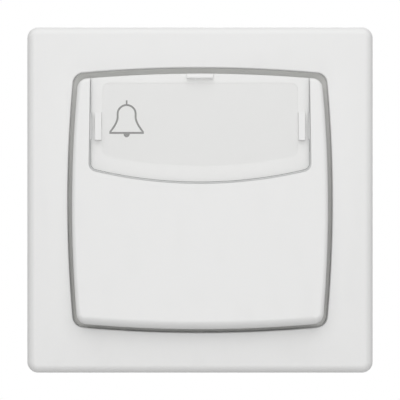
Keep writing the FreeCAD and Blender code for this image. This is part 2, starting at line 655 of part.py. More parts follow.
def make_mechanism_base():
    floor_front = "base_deep - base_floor"
    shell = rounded_block("base_shell", BASE_WIDE, BASE_TALL, "base_corner", "0", "base_deep")
    hollow = rounded_block(
        "base_hollow", f"{BASE_WIDE} - base_wall", f"{BASE_TALL} - base_wall", "base_corner - base_wall",
        "-cut_past", floor_front,
    )
    posts = four_posts("base_post", "post_radius", "-ring_thick", floor_front)
    bore_end = "tie_long - ring_thick - cover_thick + join_in"
    bores = four_posts("base_bore", "tie_radius + screw_fit", "-ring_thick - cut_past", bore_end)

    strip_back = f"{CONTACT_LEVEL} + strip_thick"
    pedestal = box(
        "base_pedestal",
        (
            "contact_place - strip_wide / 2 + pedestal_inset",
            "contact_place + strip_wide / 2 - pedestal_inset",
        ),
        (strip_back, f"{floor_front} + join_in"),
        ("-plunger_drop - bridge_wide / 2", "-plunger_drop + bridge_wide / 2"),
    )
    guide = box(
        "base_wire_guide",
        ("contact_place - clamp_wide / 2", "contact_place + clamp_wide / 2"),
        ("clamp_front + clamp_deep", f"{floor_front} + join_in"),
        ("clamp_low", "clamp_low + clamp_tall"),
    )
    inner_right = both_sides("base_inner", fuse("base_inner_right", pedestal, guide))
    seat_centre = ("0", "-plunger_drop")
    seat = cylinder(
        "base_seat", "y", "spring_radius + seat_margin", SEAT_FRONT, f"{floor_front} + join_in", seat_centre
    )
    seat_pin = cylinder(
        "base_seat_pin", "y", "spring_radius - spring_wire - seat_play", f"{SEAT_FRONT} - seat_pin",
        f"{SEAT_FRONT} + join_in", seat_centre,
    )
    wire_hole = cylinder(
        "base_wire_hole", "y", "wire_radius", "clamp_front + clamp_deep - cut_past", "base_deep + cut_past",
        ("contact_place", WIRE_HEIGHT),
    )
    driver_hole = cylinder(
        "base_driver_hole", "z", "terminal_head + driver_room", f"{BASE_TALL} - base_wall - cut_past",
        f"{BASE_TALL} + cut_past", ("contact_place", CLAMP_MIDDLE),
    )
    holes = both_sides("base_holes", fuse("base_holes_right", wire_hole, driver_hole))
    walls = cut("base_walls", shell, hollow)
    filled = fuse("base_filled", walls, posts, inner_right, seat, seat_pin, make_claw_ramps())
    return cut("mechanism_base", filled, bores, holes)


def make_claw_ramps():
    """Two inclined ribs on each side, which spread a claw as it is drawn forward."""
    root = "base_wall / 2"
    ribs = []
    for word, low in (("upper", "ramp_inner"), ("lower", "-ramp_inner - ramp_wide")):
        rib = document.addObject("Part::Wedge", f"base_ramp_{word}")
        for field in ("Xmin", "X2min", "Ymin", "Zmin", "Z2min"):
            setattr(rib, field, 0)
        set_size(rib, "Xmax", f"{root} + ramp_rise")
        set_size(rib, "X2max", root)
        set_size(rib, "Ymax", "ramp_long")
        set_size(rib, "Zmax", "ramp_wide")
        set_size(rib, "Z2max", "ramp_wide")
        set_size(rib, "Placement.Base.x", f"{BASE_WIDE} - {root}")
        set_size(rib, "Placement.Base.y", "ramp_front")
        set_size(rib, "Placement.Base.z", low)
        ribs.append(rib)
    return both_sides("base_ramps", fuse("base_ramps_right", *ribs))


def make_mechanism_cover():
    back = "-ring_thick"
    front = "-ring_thick - cover_thick"
    lap = "fit_gap + cover_lap"
    plate = rounded_block(
        "cover_plate", f"{BASE_WIDE} - base_wall + {lap}", f"{BASE_TALL} - base_wall + {lap}",
        f"base_corner - base_wall + {lap}", front, back,
    )
    spigot = rounded_block(
        "cover_spigot", f"{BASE_WIDE} - base_wall - fit_gap", f"{BASE_TALL} - base_wall - fit_gap",
        "base_corner - base_wall - fit_gap", f"{back} - cover_thick / 2", f"{back} + spigot_deep",
    )
    inside = "base_wall + fit_gap + spigot_wall"
    spigot_hollow = rounded_block(
        "cover_hollow", f"{BASE_WIDE} - ({inside})", f"{BASE_TALL} - ({inside})", f"base_corner - ({inside})",
        back, f"{back} + spigot_deep + cut_past",
    )
    ear_outer = f"{EAR_INNER} + ear_thick"
    ear_foot = box(
        "cover_ear_foot", (EAR_INNER, ear_outer), (f"-{PIVOT_FRONT}", f"{front} + cover_thick / 2"),
        (f"-{EAR_RADIUS}", EAR_RADIUS),
    )
    ear_round = cylinder("cover_ear_round", "x", EAR_RADIUS, EAR_INNER, ear_outer, (f"-{PIVOT_FRONT}", "0"))
    ears = both_sides("cover_ears", fuse("cover_ear", ear_foot, ear_round))
    pin_hole = cylinder(
        "cover_pin_hole", "x", "pin_radius + pin_play", f"-({ear_outer}) - cut_past",
        f"{ear_outer} + cut_past", (f"-{PIVOT_FRONT}", "0"),
    )
    plunger_axis = ("0", "-plunger_drop")
    guide = cylinder(
        "cover_guide", "y", "guide_radius", f"{back} - cover_thick / 2", "collar_front - stop_gap",
        plunger_axis,
    )
    guide_bore = cylinder(
        "cover_guide_bore", "y", "plunger_radius + screw_fit", f"{front} - cut_past",
        "collar_front + cut_past", plunger_axis,
    )
    tie_holes = four_posts(
        "cover_tie_hole", "tie_radius + screw_fit", f"{front} - cut_past", f"{back} + cut_past"
    )
    body = cut("cover_body", fuse("cover_shell", plate, spigot), spigot_hollow)
    return cut("mechanism_cover", fuse("cover_full", body, ears, guide), pin_hole, guide_bore, tie_holes)


def make_cover_screws():
    seat = "-ring_thick - cover_thick"
    heads = four_posts("tie_heads", "tie_head", f"{seat} - tie_rise", seat)
    shanks = four_posts("tie_shanks", "tie_radius", f"{seat} - tie_rise / 2", f"{seat} + tie_long")
    return fuse("cover_screws", heads, shanks)


# The rocker and what moves with it, drawn about the pivot axis with the front face upright


def tilt(piece):
    """Place a piece on the pivot axis, leaning as the rocker does at rest."""
    piece.Placement = Placement(Vector(), Rotation(Vector(1, 0, 0), -1))
    set_size(piece, "Placement.Base.y", f"-{PIVOT_FRONT}")
    set_size(piece, "Placement.Rotation.Angle", "-rest_tilt")
    return piece


def rocker_outline(name, inset):
    """The rocker's bowed square, smaller by an inset."""
    sketch = new_sketch(name)
    set_size(sketch, "Placement.Base.z", "-rocker_drop")
    smaller = f"rocker_gap + ({inset})"
    half, bow = (f"{size} - ({smaller})" for size in (OPENING_HALF, "opening_bow"))
    return pillow(sketch, half, bow, f"rocker_corner - ({inset})")


def rocker_blank(name):
    """The rocker's outer form, with a larger rounding along the edge that is pressed."""
    front = f"-{ROCKER_FRONT}"
    block = extrude(f"{name}_block", rocker_outline(f"{name}_outline", "0"), front, f"{front} + rocker_skirt")
    document.recompute()
    rounded = document.addObject("Part::Fillet", name)
    rounded.Base = block
    low = -value(f"{ROCKER_HALF} + rocker_drop") + value("rocker_corner")

    def radius_at(vertex):
        return value("rocker_lip") if vertex.Point.z < low else value("rocker_edge")

    edges = []
    for number in edges_at(block.Shape, value(front), lambda limits: True):
        edge = block.Shape.Edges[number - 1]
        first, last = edge.firstVertex(True), edge.lastVertex(True)
        edges.append((number, radius_at(first), radius_at(last)))
    rounded.Edges = edges
    return rounded


def window_prism(name, grow):
    """The label window's outline drawn out, larger by an amount all round."""
    sketch = label_outline(
        new_sketch(f"{name}_outline"), f"{WINDOW_HALF} + {grow}", f"window_low - {grow}",
        f"window_bow + {grow}", f"window_corner + {grow}", FRAME_HALF,
    )
    return extrude(name, sketch, f"-{ROCKER_FRONT} - cut_past", f"-{RECESS_FLOOR}")


def card_prism(name, grow, low, high):
    """The label card's outline drawn out, larger by an amount all round."""
    sketch = label_outline(
        new_sketch(f"{name}_outline"), f"{CARD_HALF} + {grow}", f"{CARD_LOW} - {grow}", f"card_bow + {grow}",
        f"card_corner + {grow}", f"{CARD_TOP} + {grow}",
    )
    return extrude(name, sketch, low, high)


def window_holders(name, play):
    """The two side lugs and the top clip, larger by a clearance."""
    deep = (f"-{ROCKER_FRONT} - 2 * cut_past", f"-{RECESS_FLOOR} + join_in")
    side = box(
        f"{name}_side",
        (f"{LUG_PLACE} - lug_wide / 2 - {play}", f"{LUG_PLACE} + lug_wide / 2 + {play}"),
        deep,
        (f"lug_height - lug_tall / 2 - {play}", f"lug_height + lug_tall / 2 + {play}"),
    )
    clip = box(
        f"{name}_clip", (f"-clip_half - {play}", f"clip_half + {play}"), deep,
        (f"{ROCKER_TOP} - clip_deep - {play}", f"{FRAME_HALF} + cut_past"),
    )
    return fuse(name, both_sides(f"{name}_sides", side), clip)


def make_rocker(blank):
    front = f"-{ROCKER_FRONT}"
    inner_face = f"{front} + rocker_front"
    joined = f"{inner_face} - join_in"
    floor_back = f"-{SEAT_FLOOR} + floor_thick"
    hollow = extrude(
        "rocker_hollow", rocker_outline("rocker_hollow_outline", "rocker_wall"), inner_face,
        f"{front} + rocker_skirt + cut_past",
    )
    shell = cut("rocker_shell", blank, hollow)
    window_floor = card_prism("rocker_window_floor", "floor_margin", joined, floor_back)
    stiffener = box(
        "rocker_stiffener", ("rib_place - rib_thick / 2", "rib_place + rib_thick / 2"), (joined, floor_back),
        (f"-{ROCKER_HALF} + rocker_wall", f"{CARD_LOW} + floor_margin"),
    )
    across = ("catch_place", "catch_place + catch_wide")
    hold_back = f"-{YOKE_FRONT} + yoke_thick + stop_gap"
    tip_back = f"{hold_back} + catch_nose"
    inner = f"({YOKE_HALF} + stop_gap)"
    outer = f"({inner} + catch_thick)"
    nose = f"({inner} - catch_nose)"
    catches = [
        box("rocker_catch_arm_upper", across, (joined, tip_back), (inner, outer)),
        box("rocker_catch_nose_upper", across, (hold_back, tip_back), (nose, outer)),
        box("rocker_catch_arm_lower", across, (joined, tip_back), (f"-{outer}", f"-{inner}")),
        box("rocker_catch_nose_lower", across, (hold_back, tip_back), (f"-{outer}", f"-{nose}")),
    ]
    inside = both_sides("rocker_inside", fuse("rocker_inside_right", stiffener, *catches))
    solid = fuse("rocker_solid", shell, window_floor, inside)
    window_room = window_prism("rocker_window_room", "window_gap")
    card_room = card_prism("rocker_card_room", "card_play", f"{front} - cut_past", f"-{SEAT_FLOOR}")
    rooms = fuse("rocker_rooms", window_room, card_room)
    return tilt(cut("rocker", solid, cut("rocker_recess", rooms, window_holders("rocker_holders", "0"))))


def make_label_window(blank):
    plate = common("window_plate", blank, window_prism("window_prism", "0"))
    notch = box(
        "window_notch", (f"{WINDOW_HALF} - notch_deep", f"{WINDOW_HALF} + cut_past"),
        (f"-{ROCKER_FRONT} - cut_past", f"-{RECESS_FLOOR} + cut_past"),
        ("lug_height - notch_tall / 2", "lug_height + notch_tall / 2"),
    )
    openings = window_holders("window_openings", "lug_play")
    return tilt(cut("label_window", plate, openings, both_sides("window_notches", notch)))


def make_label_card():
    return tilt(card_prism("label_card", "0", f"-{RECESS_FLOOR}", f"-{RECESS_FLOOR} + card_thick"))


def make_yoke():
    """The tilting carrier that the rocker clips on, with its pins, stops and nose."""
    half_wide = f"({EAR_INNER} - side_play)"
    front = f"-{YOKE_FRONT}"
    back = f"(-{YOKE_FRONT} + yoke_thick)"
    plate = box("yoke_plate", (f"-{half_wide}", half_wide), (front, back), (f"-{YOKE_HALF}", YOKE_HALF))
    cheek = box(
        "yoke_cheek", (f"{half_wide} - cheek_thick", half_wide), (f"{back} - yoke_thick / 2", "0"),
        (f"-{EAR_RADIUS}", EAR_RADIUS),
    )
    cheek_round = cylinder(
        "yoke_cheek_round", "x", EAR_RADIUS, f"{half_wide} - cheek_thick", half_wide, ("0", "0")
    )
    pin = cylinder(
        "yoke_pin", "x", "pin_radius", f"{half_wide} - cheek_thick", f"{EAR_INNER} + ear_thick", ("0", "0")
    )
    sides = both_sides("yoke_sides", fuse("yoke_side", cheek, cheek_round, pin))
    inner = f"({STOP_PLACE} - stop_thick / 2)"
    outer = f"({STOP_PLACE} + stop_thick / 2)"
    level = f"{PIVOT_FRONT} - ring_thick - cover_thick - stop_gap"
    stop_tip = f"({level} - {outer} * sin(rest_tilt)) / cos(rest_tilt)"
    stop_span = (("-stop_half", "stop_half"), (f"{back} - yoke_thick / 2", stop_tip))
    stops = [
        box("yoke_stop_upper", *stop_span, (inner, outer)),
        box("yoke_stop_lower", *stop_span, (f"-{outer}", f"-{inner}")),
    ]
    lift = "plunger_sunk - nose_gap - nose_radius + plunger_drop * sin(rest_tilt)"
    nose_centre = f"(({lift}) / cos(rest_tilt))"
    nose_axis = (nose_centre, "-plunger_drop")
    nose = cylinder("yoke_nose", "x", "nose_radius", "-nose_half", "nose_half", nose_axis)
    nose_web = box(
        "yoke_nose_web", ("-nose_half", "nose_half"), (f"{back} - yoke_thick / 2", nose_centre),
        ("-plunger_drop - nose_radius", "-plunger_drop + nose_radius"),
    )
    return tilt(fuse("yoke", plate, sides, *stops, nose, nose_web))


# The contact train behind the yoke

def make_plunger():
    centre = ("0", "-plunger_drop")
    front = f"plunger_sunk - {PIVOT_FRONT}"
    stem = cylinder("plunger_stem", "y", "plunger_radius", front, "plunger_back", centre)
    collar = cylinder(
        "plunger_collar", "y", "collar_radius", "collar_front", "collar_front + collar_thick", centre
    )
    return fuse("plunger", stem, collar)


def make_contact_bridge():
    strip = box(
        "bridge_strip", ("-bridge_half", "bridge_half"), ("collar_front + collar_thick", BRIDGE_BACK),
        ("-plunger_drop - bridge_wide / 2", "-plunger_drop + bridge_wide / 2"),
    )
    rivet = cylinder(
        "bridge_rivet", "y", "rivet_radius", f"{BRIDGE_BACK} - bridge_thick / 2",
        f"{BRIDGE_BACK} + rivet_rise", ("contact_place", "-plunger_drop"),
    )
    centre = ("0", "-plunger_drop")
    eye = cylinder(
        "bridge_eye", "y", "collar_radius", "collar_front + collar_thick", BRIDGE_BACK, centre
    )
    hole = cylinder(
        "bridge_hole", "y", "plunger_radius + screw_fit", "collar_front", "plunger_back", centre
    )
    return cut("contact_bridge", fuse("bridge_full", strip, eye, both_sides("bridge_rivets", rivet)), hole)


def make_return_spring():
    front = f"{BRIDGE_BACK} + spring_wire + stop_gap"
    back = f"{SEAT_FRONT} - spring_wire - stop_gap"
    path = document.addObject("Part::Helix", "spring_path")
    set_size(path, "Radius", "spring_radius")
    set_size(path, "Height", f"({back}) - ({front})")
    set_size(path, "Pitch", f"(({back}) - ({front})) / spring_turns")
    section = document.addObject("Part::Circle", "spring_section")
    section.Placement = Placement(Vector(), Rotation(Vector(1, 0, 0), 90))
    set_size(section, "Placement.Base.x", "spring_radius")
    set_size(section, "Radius", "spring_wire")
    document.recompute()
    coil = document.addObject("Part::Sweep", "return_spring")
    coil.Sections = [section]
    coil.Spine = (path, ["Edge1"])
    coil.Solid = True
    coil.Frenet = True
    coil.Placement = Placement(Vector(), Rotation(Vector(1, 0, 0), -90))
    set_size(coil, "Placement.Base.y", front)
    set_size(coil, "Placement.Base.z", "-plunger_drop")
    return coil


def make_fixed_contact():
    across = ("contact_place - strip_wide / 2", "contact_place + strip_wide / 2")
    rail = box(
        "contact_rail", across, (CONTACT_LEVEL, f"{CONTACT_LEVEL} + strip_thick"),
        ("-plunger_drop - bridge_wide / 2", TONGUE_TOP),
    )
    tongue = box(
        "contact_tongue", across, (CONTACT_LEVEL, "clamp_front + clamp_deep"),
        (f"{TONGUE_TOP} - strip_thick", TONGUE_TOP),
    )
    return fuse("fixed_contact_right", rail, tongue)


def make_terminal_clamp():
    middle = "contact_place"
    low, high = "clamp_low", "clamp_low + clamp_tall"
    block = box(
        "clamp_block", (f"{middle} - clamp_wide / 2", f"{middle} + clamp_wide / 2"),
        ("clamp_front", "clamp_front + clamp_deep"), (low, high),
    )
    inside = box(
        "clamp_inside",
        (f"{middle} - clamp_wide / 2 + clamp_sheet", f"{middle} + clamp_wide / 2 - clamp_sheet"),
        ("clamp_front - cut_past", "clamp_front + clamp_deep + cut_past"),
        (f"{low} + clamp_sheet", f"{high} - clamp_sheet"),
    )
    thread = cylinder(
        "clamp_thread", "z", "terminal_radius + screw_fit", f"{high} - clamp_sheet - cut_past",
        f"{high} + cut_past", (middle, CLAMP_MIDDLE),
    )
    return cut("terminal_clamp_right", block, inside, thread)


def make_terminal_screws():
    centre = ("contact_place", CLAMP_MIDDLE)
    end = f"{TONGUE_TOP} + wire_radius"
    shank = cylinder("terminal_shank", "z", "terminal_radius", end, f"{end} + terminal_long", centre)
    head = cylinder(
        "terminal_head", "z", "terminal_head", f"{end} + terminal_long",
        f"{end} + terminal_long + terminal_rise", centre,
    )
    return both_sides("terminal", fuse("terminal_screw", shank, head))


# The claws, which their screws draw forward along the ramps so that they grip the wall box

def make_claw_screws():
    centre = (CLAW_SCREW_X, "0")
    seat = "-ring_thick"
    head = cylinder("claw_head", "y", "claw_screw_head", f"{seat} - claw_screw_rise", seat, centre)
    shank = cylinder("claw_shank", "y", "claw_screw_radius", f"{seat} - join_in", CLAW_SCREW_END, centre)
    return both_sides("claw_screw", fuse("claw_screw_right", head, shank))


def make_claw_nut():
    side = "nut_side / 2"
    back = "claw_back + nut_thick"
    block = box(
        "nut_block", (f"{CLAW_SCREW_X} - {side}", f"{CLAW_SCREW_X} + {side}"), ("claw_back", back),
        (f"-{side}", side),
    )
    bore = cylinder(
        "nut_bore", "y", "claw_screw_radius + screw_fit", "claw_back - cut_past", f"{back} + cut_past",
        (CLAW_SCREW_X, "0"),
    )
    return cut("claw_nut_right", block, bore)


def make_claw():
    """A forked steel claw: two shoes on the ramps, a foot round the screw, a toothed lip."""
    half = "(ramp_inner + ramp_wide)"

    def ramp_x(place):
        """The ramp's face at a place on the Y axis, with the claw's clearance."""
        along = f"(({place}) - ramp_front) / ramp_long"
        return f"({BASE_WIDE} + ramp_rise * (1 - {along}) + claw_gap)"

    outer = f"({ramp_x('claw_back')} + claw_reach)"
    lip_front = "(claw_back - 3 * claw_sheet)"
    points = [
        (ramp_x("claw_back"), "claw_back"),
        (ramp_x("claw_front"), "claw_front"),
        (f"({ramp_x('claw_front')} + claw_sheet)", "claw_front"),
        (f"({ramp_x('claw_back')} + claw_sheet)", "(claw_back - claw_sheet)"),
        (f"({outer} - claw_sheet)", "(claw_back - claw_sheet)"),
        (f"({outer} - claw_sheet)", lip_front),
        (outer, lip_front),
        (f"({outer} + claw_tooth)", f"({lip_front} + claw_sheet)"),
        (outer, f"({lip_front} + 2 * claw_sheet)"),
        (outer, "claw_back"),
    ]
    sketch = document.addObject("Sketcher::SketchObject", "claw_outline")
    corners = [Vector(value(across), value(along), 0) for across, along in points]
    count = len(points)
    for index in range(count):
        sketch.addGeometry(Part.LineSegment(corners[index], corners[(index + 1) % count]))
    for index in range(count):
        sketch.addConstraint(Constraint("Coincident", index, 2, (index + 1) % count, 1))
    for index, (across, along) in enumerate(points):
        constrain(sketch, across, "DistanceX", -1, 1, index, 1)
        constrain(sketch, along, "DistanceY", -1, 1, index, 1)
    fork = document.addObject("Part::Extrusion", "claw_fork")
    fork.Base = sketch
    fork.DirMode = "Custom"
    fork.Dir = Vector(0, 0, 1)
    fork.Solid = True
    set_size(fork, "LengthFwd", half)
    set_size(fork, "LengthRev", half)
    slot = box(
        "claw_slot", (BASE_WIDE, f"{CLAW_SCREW_X} + claw_screw_radius + claw_gap"), ("0", "base_deep"),
        ("-claw_screw_radius - claw_gap", "claw_screw_radius + claw_gap"),
    )
    between = box(
        "claw_between", (BASE_WIDE, f"{ramp_x('claw_front')} + claw_sheet"),
        ("0", "claw_back - claw_sheet"), ("-ramp_inner", "ramp_inner"),
    )
    return cut("claw_right", fork, slot, between)


def make_parts():
    """Every sub-part, by the name of its node."""
    blank = rocker_blank("rocker_blank")
    parts = {
        "cover_frame": make_cover_frame(),
        "bearing_frame": make_bearing_frame(),
        "support_ring": make_support_ring(),
        "mechanism_base": make_mechanism_base(),
        "mechanism_cover": make_mechanism_cover(),
        "cover_screws": make_cover_screws(),
        "rocker": make_rocker(blank),
        "label_window": make_label_window(blank),
        "label_card": make_label_card(),
        "yoke": make_yoke(),
        "plunger": make_plunger(),
        "contact_bridge": make_contact_bridge(),
        "return_spring": make_return_spring(),
        "fixed_contact_right": make_fixed_contact(),
        "terminal_clamp_right": make_terminal_clamp(),
        "terminal_screws": make_terminal_screws(),
        "claw_screws": make_claw_screws(),
        "claw_nut_right": make_claw_nut(),
        "claw_right": make_claw(),
    }
    for stem in ("fixed_contact", "terminal_clamp", "claw_nut", "claw"):
        parts[f"{stem}_left"] = mirror(f"{stem}_left", parts[f"{stem}_right"])
    for name, piece in parts.items():
        piece.Label = name
    return parts


parts = make_parts()
document.recompute()
for item in document.Objects:
    if "Invalid" in item.State or "Error" in item.State:
        raise RuntimeError(f"{item.Label} was not built: {item.State}")
for name, piece in parts.items():
    if piece.Shape.isNull() or not piece.Shape.isValid():
        raise RuntimeError(f"{name} has no valid shape")

os.makedirs("parts", exist_ok=True)
for name, piece in parts.items():
    piece.Shape.exportStep(f"parts/{name}.step")
    limits = piece.Shape.BoundBox
    print(
        f"{name}: {len(piece.Shape.Solids)} solids, {piece.Shape.Volume:.1f} mm3,"
        f" x {limits.XMin:.2f}..{limits.XMax:.2f}, y {limits.YMin:.2f}..{limits.YMax:.2f},"
        f" z {limits.ZMin:.2f}..{limits.ZMax:.2f}"
    )
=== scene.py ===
import json
import math
from collections import namedtuple

import bmesh
import bpy
from bpy.props import FloatProperty, FloatVectorProperty, PointerProperty
from mathutils import Matrix, Vector


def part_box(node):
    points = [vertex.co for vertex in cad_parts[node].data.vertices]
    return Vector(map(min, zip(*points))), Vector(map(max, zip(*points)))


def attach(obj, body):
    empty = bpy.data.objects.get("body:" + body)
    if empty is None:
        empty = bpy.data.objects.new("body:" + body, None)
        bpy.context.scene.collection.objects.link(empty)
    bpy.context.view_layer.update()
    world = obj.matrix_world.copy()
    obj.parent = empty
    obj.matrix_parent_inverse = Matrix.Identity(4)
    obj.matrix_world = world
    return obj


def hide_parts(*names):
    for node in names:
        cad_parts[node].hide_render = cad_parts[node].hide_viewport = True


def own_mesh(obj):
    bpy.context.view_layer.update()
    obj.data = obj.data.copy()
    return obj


bl_info = {
    "name": "Doorbell push button",
    "version": (1, 0, 0),
    "blender": (4, 5, 0),
    "location": "3D View > Sidebar > Doorbell",
    "description": "Builds a flush doorbell push with a label window and its wall mechanism",
    "category": "Object",
}

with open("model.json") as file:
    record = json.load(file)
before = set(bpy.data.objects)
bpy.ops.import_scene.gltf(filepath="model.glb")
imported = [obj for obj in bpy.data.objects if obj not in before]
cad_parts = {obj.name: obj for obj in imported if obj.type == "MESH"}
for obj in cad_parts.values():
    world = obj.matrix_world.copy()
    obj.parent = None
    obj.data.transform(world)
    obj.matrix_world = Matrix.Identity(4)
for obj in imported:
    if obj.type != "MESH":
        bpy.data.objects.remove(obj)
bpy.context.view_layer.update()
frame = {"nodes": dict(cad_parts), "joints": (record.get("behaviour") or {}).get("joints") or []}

MM = 0.001
QUARTER = math.pi / 2
FRONT_LOW, FRONT_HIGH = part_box("cover_frame")
PIVOT = Vector(next(joint["pos_m"] for joint in frame["joints"] if joint["name"] == "rocker_press"))
TILT = -math.radians(3.25)
ROCKER_PLACE = Matrix.Translation(PIVOT) @ Matrix.Rotation(TILT, 4, "X")

# Steps along a side, a corner, a rounded edge, the soft slope, a round rod and a spring's turn
SIDE_STEPS = 40
CORNER_STEPS = 14
ROUND_STEPS = 8
SLOPE_STEPS = 8
ROD_STEPS = 48
SPRING_STEPS = 40
THREAD_STEPS = 32
SHARP_ANGLE = math.radians(32)
TOUCHING = 1e-7


# Sizes and colours that a user may change

def length(name, description, millimetres):
    """A length in metres, given in millimetres."""
    return FloatProperty(
        name=name, description=description, default=millimetres * MM, min=0.0, precision=5, unit="LENGTH"
    )


def colour(name, description, shade):
    """A colour in linear light."""
    return FloatVectorProperty(
        name=name, description=description, default=shade, size=3, min=0.0, max=1.0, subtype="COLOR"
    )


def power(name, description, watts):
    """A light's power."""
    return FloatProperty(name=name, description=description, default=watts, min=0.0, unit="POWER")


class DoorbellSizes(bpy.types.PropertyGroup):
    frame_half: length("Frame half width", "Cover frame, half of its width", FRONT_HIGH.x / MM)
    frame_depth: length("Frame depth", "Cover frame, wall to front face", -FRONT_LOW.y / MM)
    frame_corner: length("Frame corner", "Cover frame, corner radius", 2.6)
    frame_edge: length("Frame edge", "Cover frame, rounding of the front edge", 1.9)
    frame_wall: length("Frame side wall", "Cover frame, side wall", 1.8)
    frame_front: length("Frame front wall", "Cover frame, front wall", 2.0)
    opening_half: length("Opening half width", "Opening, half width at the middle of a side", 31.35)
    opening_bow: length("Opening bow", "Opening, radius of the bowed sides", 312.0)
    opening_corner: length("Opening corner", "Opening, corner radius", 2.6)
    opening_edge: length("Opening edge", "Opening, rounding of its front edge", 0.35)
    slope_wide: length("Slope width", "Soft slope round the opening, width", 5.5)
    slope_deep: length("Slope depth", "Soft slope round the opening, depth at its edge", 0.35)
    collar_wall: length("Collar wall", "Collar behind the opening, wall", 1.2)
    plate_front: length("Bearing frame front", "Bearing frame, wall to its front face", 7.1)
    rocker_gap: length("Rocker gap", "Gap between rocker and opening", 1.2)
    rocker_drop: length("Rocker drop", "Offset of the rocker's outline below its axis", 0.5)
    rocker_front: length("Rocker front", "Rocker's front face in front of the axis", 6.3)
    rocker_skirt: length("Rocker skirt", "Depth of the rocker's skirt", 4.0)
    rocker_edge: length("Rocker edge", "Rounding at the rocker's top and sides", 1.0)
    rocker_lip: length("Rocker lip", "Rounding at the rocker's pressed edge", 2.1)
    window_half: length("Window half width", "Label window, half width", 25.78)
    window_gap: length("Window groove", "Groove round the label window", 0.4)
    symbol_line: length("Symbol line", "Bell symbol, width of its line", 0.45)


class DoorbellColours(bpy.types.PropertyGroup):
    white: colour("White plastic", "Cover frame and rocker", (0.79, 0.79, 0.785))
    grey: colour("Grey plastic", "Bearing frame", (0.63, 0.63, 0.61))
    paper: colour("Label", "Label card", (0.775, 0.775, 0.77))
    symbol: colour("Symbol", "Bell symbol", (0.24, 0.24, 0.235))
    housing: colour("Housing", "Mechanism housing", (0.07, 0.073, 0.076))
    pale: colour("Inner plastic", "Yoke and plunger", (0.66, 0.65, 0.6))
    steel: colour("Steel", "Zinc-plated sheet and screws", (0.58, 0.59, 0.6))
    brass: colour("Brass", "Contacts", (0.72, 0.53, 0.26))


class DoorbellStage(bpy.types.PropertyGroup):
    distance: length("Camera distance", "Camera to the front face", 450.0)
    view_width: length("View width", "Width of the picture at the front face", 94.6)
    key_power: power("Key light", "Power of the upper light", 0.9)
    fill_power: power("Fill light", "Power of the front light", 2.05)
    rear_power: power("Rear light", "Power of the light behind", 1.1)
    sky: FloatProperty(name="Sky", description="Strength of the even light", default=0.41, min=0.0)


# Shader nodes

WHITE = (1.0, 1.0, 1.0, 1.0)
EVEN = (1.0, 1.0, 1.0)
STRAIGHT_ON_MIRRORED = 0.008


class Signal:
    """A shader socket that stands in ordinary expressions."""

    def __init__(self, recipe, socket):
        self.recipe = recipe
        self.socket = socket

    def maths(self, operation, first, second):
        return self.recipe.add("ShaderNodeMath", {"operation": operation}, {0: first, 1: second})

    def __add__(self, other):
        return self.maths("ADD", self, other)

    def __sub__(self, other):
        return self.maths("SUBTRACT", self, other)

    def __rsub__(self, other):
        return self.maths("SUBTRACT", other, self)

    def __mul__(self, other):
        return self.maths("MULTIPLY", self, other)

    __radd__ = __add__
    __rmul__ = __mul__


class Recipe:
    """The nodes of one material or world, and the ways to add to them."""

    def __init__(self, owner):
        self.owner = owner
        owner.use_nodes = True
        self.tree = owner.node_tree
        self.tree.nodes.clear()

    def add(self, kind, settings=None, inputs=None, output=0):
        """A node with its settings, then the values or links of its inputs, as its output."""
        node = self.tree.nodes.new(kind)
        for name, setting in (settings or {}).items():
            if name == "stops":
                self.set_stops(node.color_ramp, setting)
            else:
                setattr(node, name, setting)
        for name, given in (inputs or {}).items():
            socket = node.inputs[name]
            if isinstance(given, Signal):
                self.tree.links.new(given.socket, socket)
            else:
                socket.default_value = given
        return Signal(self, node.outputs[output])

    @staticmethod
    def set_stops(ramp, stops):
        while len(ramp.elements) < len(stops):
            ramp.elements.new(0.5)
        for element, (position, shade) in zip(ramp.elements, stops):
            element.position = position
            element.color = (*shade, 1.0)

    def noise(self, scale, detail=2.0, stretch=EVEN):
        """Noise over the piece, at a scale in features per metre."""
        place = self.add("ShaderNodeTexCoord", output="Object")
        if stretch != EVEN:
            place = self.add("ShaderNodeVectorMath", {"operation": "MULTIPLY"}, {0: place, 1: stretch})
        return self.add("ShaderNodeTexNoise", None, {"Vector": place, "Scale": scale, "Detail": detail})

    def ramp(self, factor, low, high):
        """0 below low, 1 above high, smooth between."""
        inputs = {"Value": factor, "From Min": low, "From Max": high}
        return self.add("ShaderNodeMapRange", {"interpolation_type": "SMOOTHSTEP"}, inputs)

    def blend(self, factor, first, second):
        """Two colours mixed."""
        shades = [shade if isinstance(shade, Signal) else (*shade, 1.0) for shade in (first, second)]
        inputs = {0: factor, 6: shades[0], 7: shades[1]}
        return self.add("ShaderNodeMix", {"data_type": "RGBA"}, inputs, output=2)

    def rounded(self, radius):
        """A normal that rounds the edges by a radius in metres."""
        return self.add("ShaderNodeBevel", {"samples": 4}, {"Radius": radius})

    def principled(self, base, roughness, **more):
        """The surface of an opaque material."""
        inputs = {"Base Color": base, "Roughness": roughness, **more}
        return self.surface(self.add("ShaderNodeBsdfPrincipled", None, inputs))

    def bump(self, height, strength, depth, normal=None):
        """A normal from a height, depth in metres."""
        inputs = {"Height": height, "Strength": strength, "Distance": depth}
        if normal is not None:
            inputs["Normal"] = normal
        return self.add("ShaderNodeBump", None, inputs)

    def background_rays(self):
        """1 for a ray that sees the white background: from the camera, mirrored or through glass."""
        seen = self.add("ShaderNodeLightPath", output="Is Camera Ray")
        for kind in ("Is Glossy Ray", "Is Transmission Ray"):
            seen = seen.maths("MAXIMUM", seen, self.add("ShaderNodeLightPath", output=kind))
        return seen

    def surface(self, shader, kind="ShaderNodeOutputMaterial"):
        output = self.tree.nodes.new(kind)
        self.tree.links.new(shader.socket, output.inputs["Surface"])
        return self.owner


def new_recipe(name):
    """An empty material to add nodes to."""
    return Recipe(bpy.data.materials.new(name))


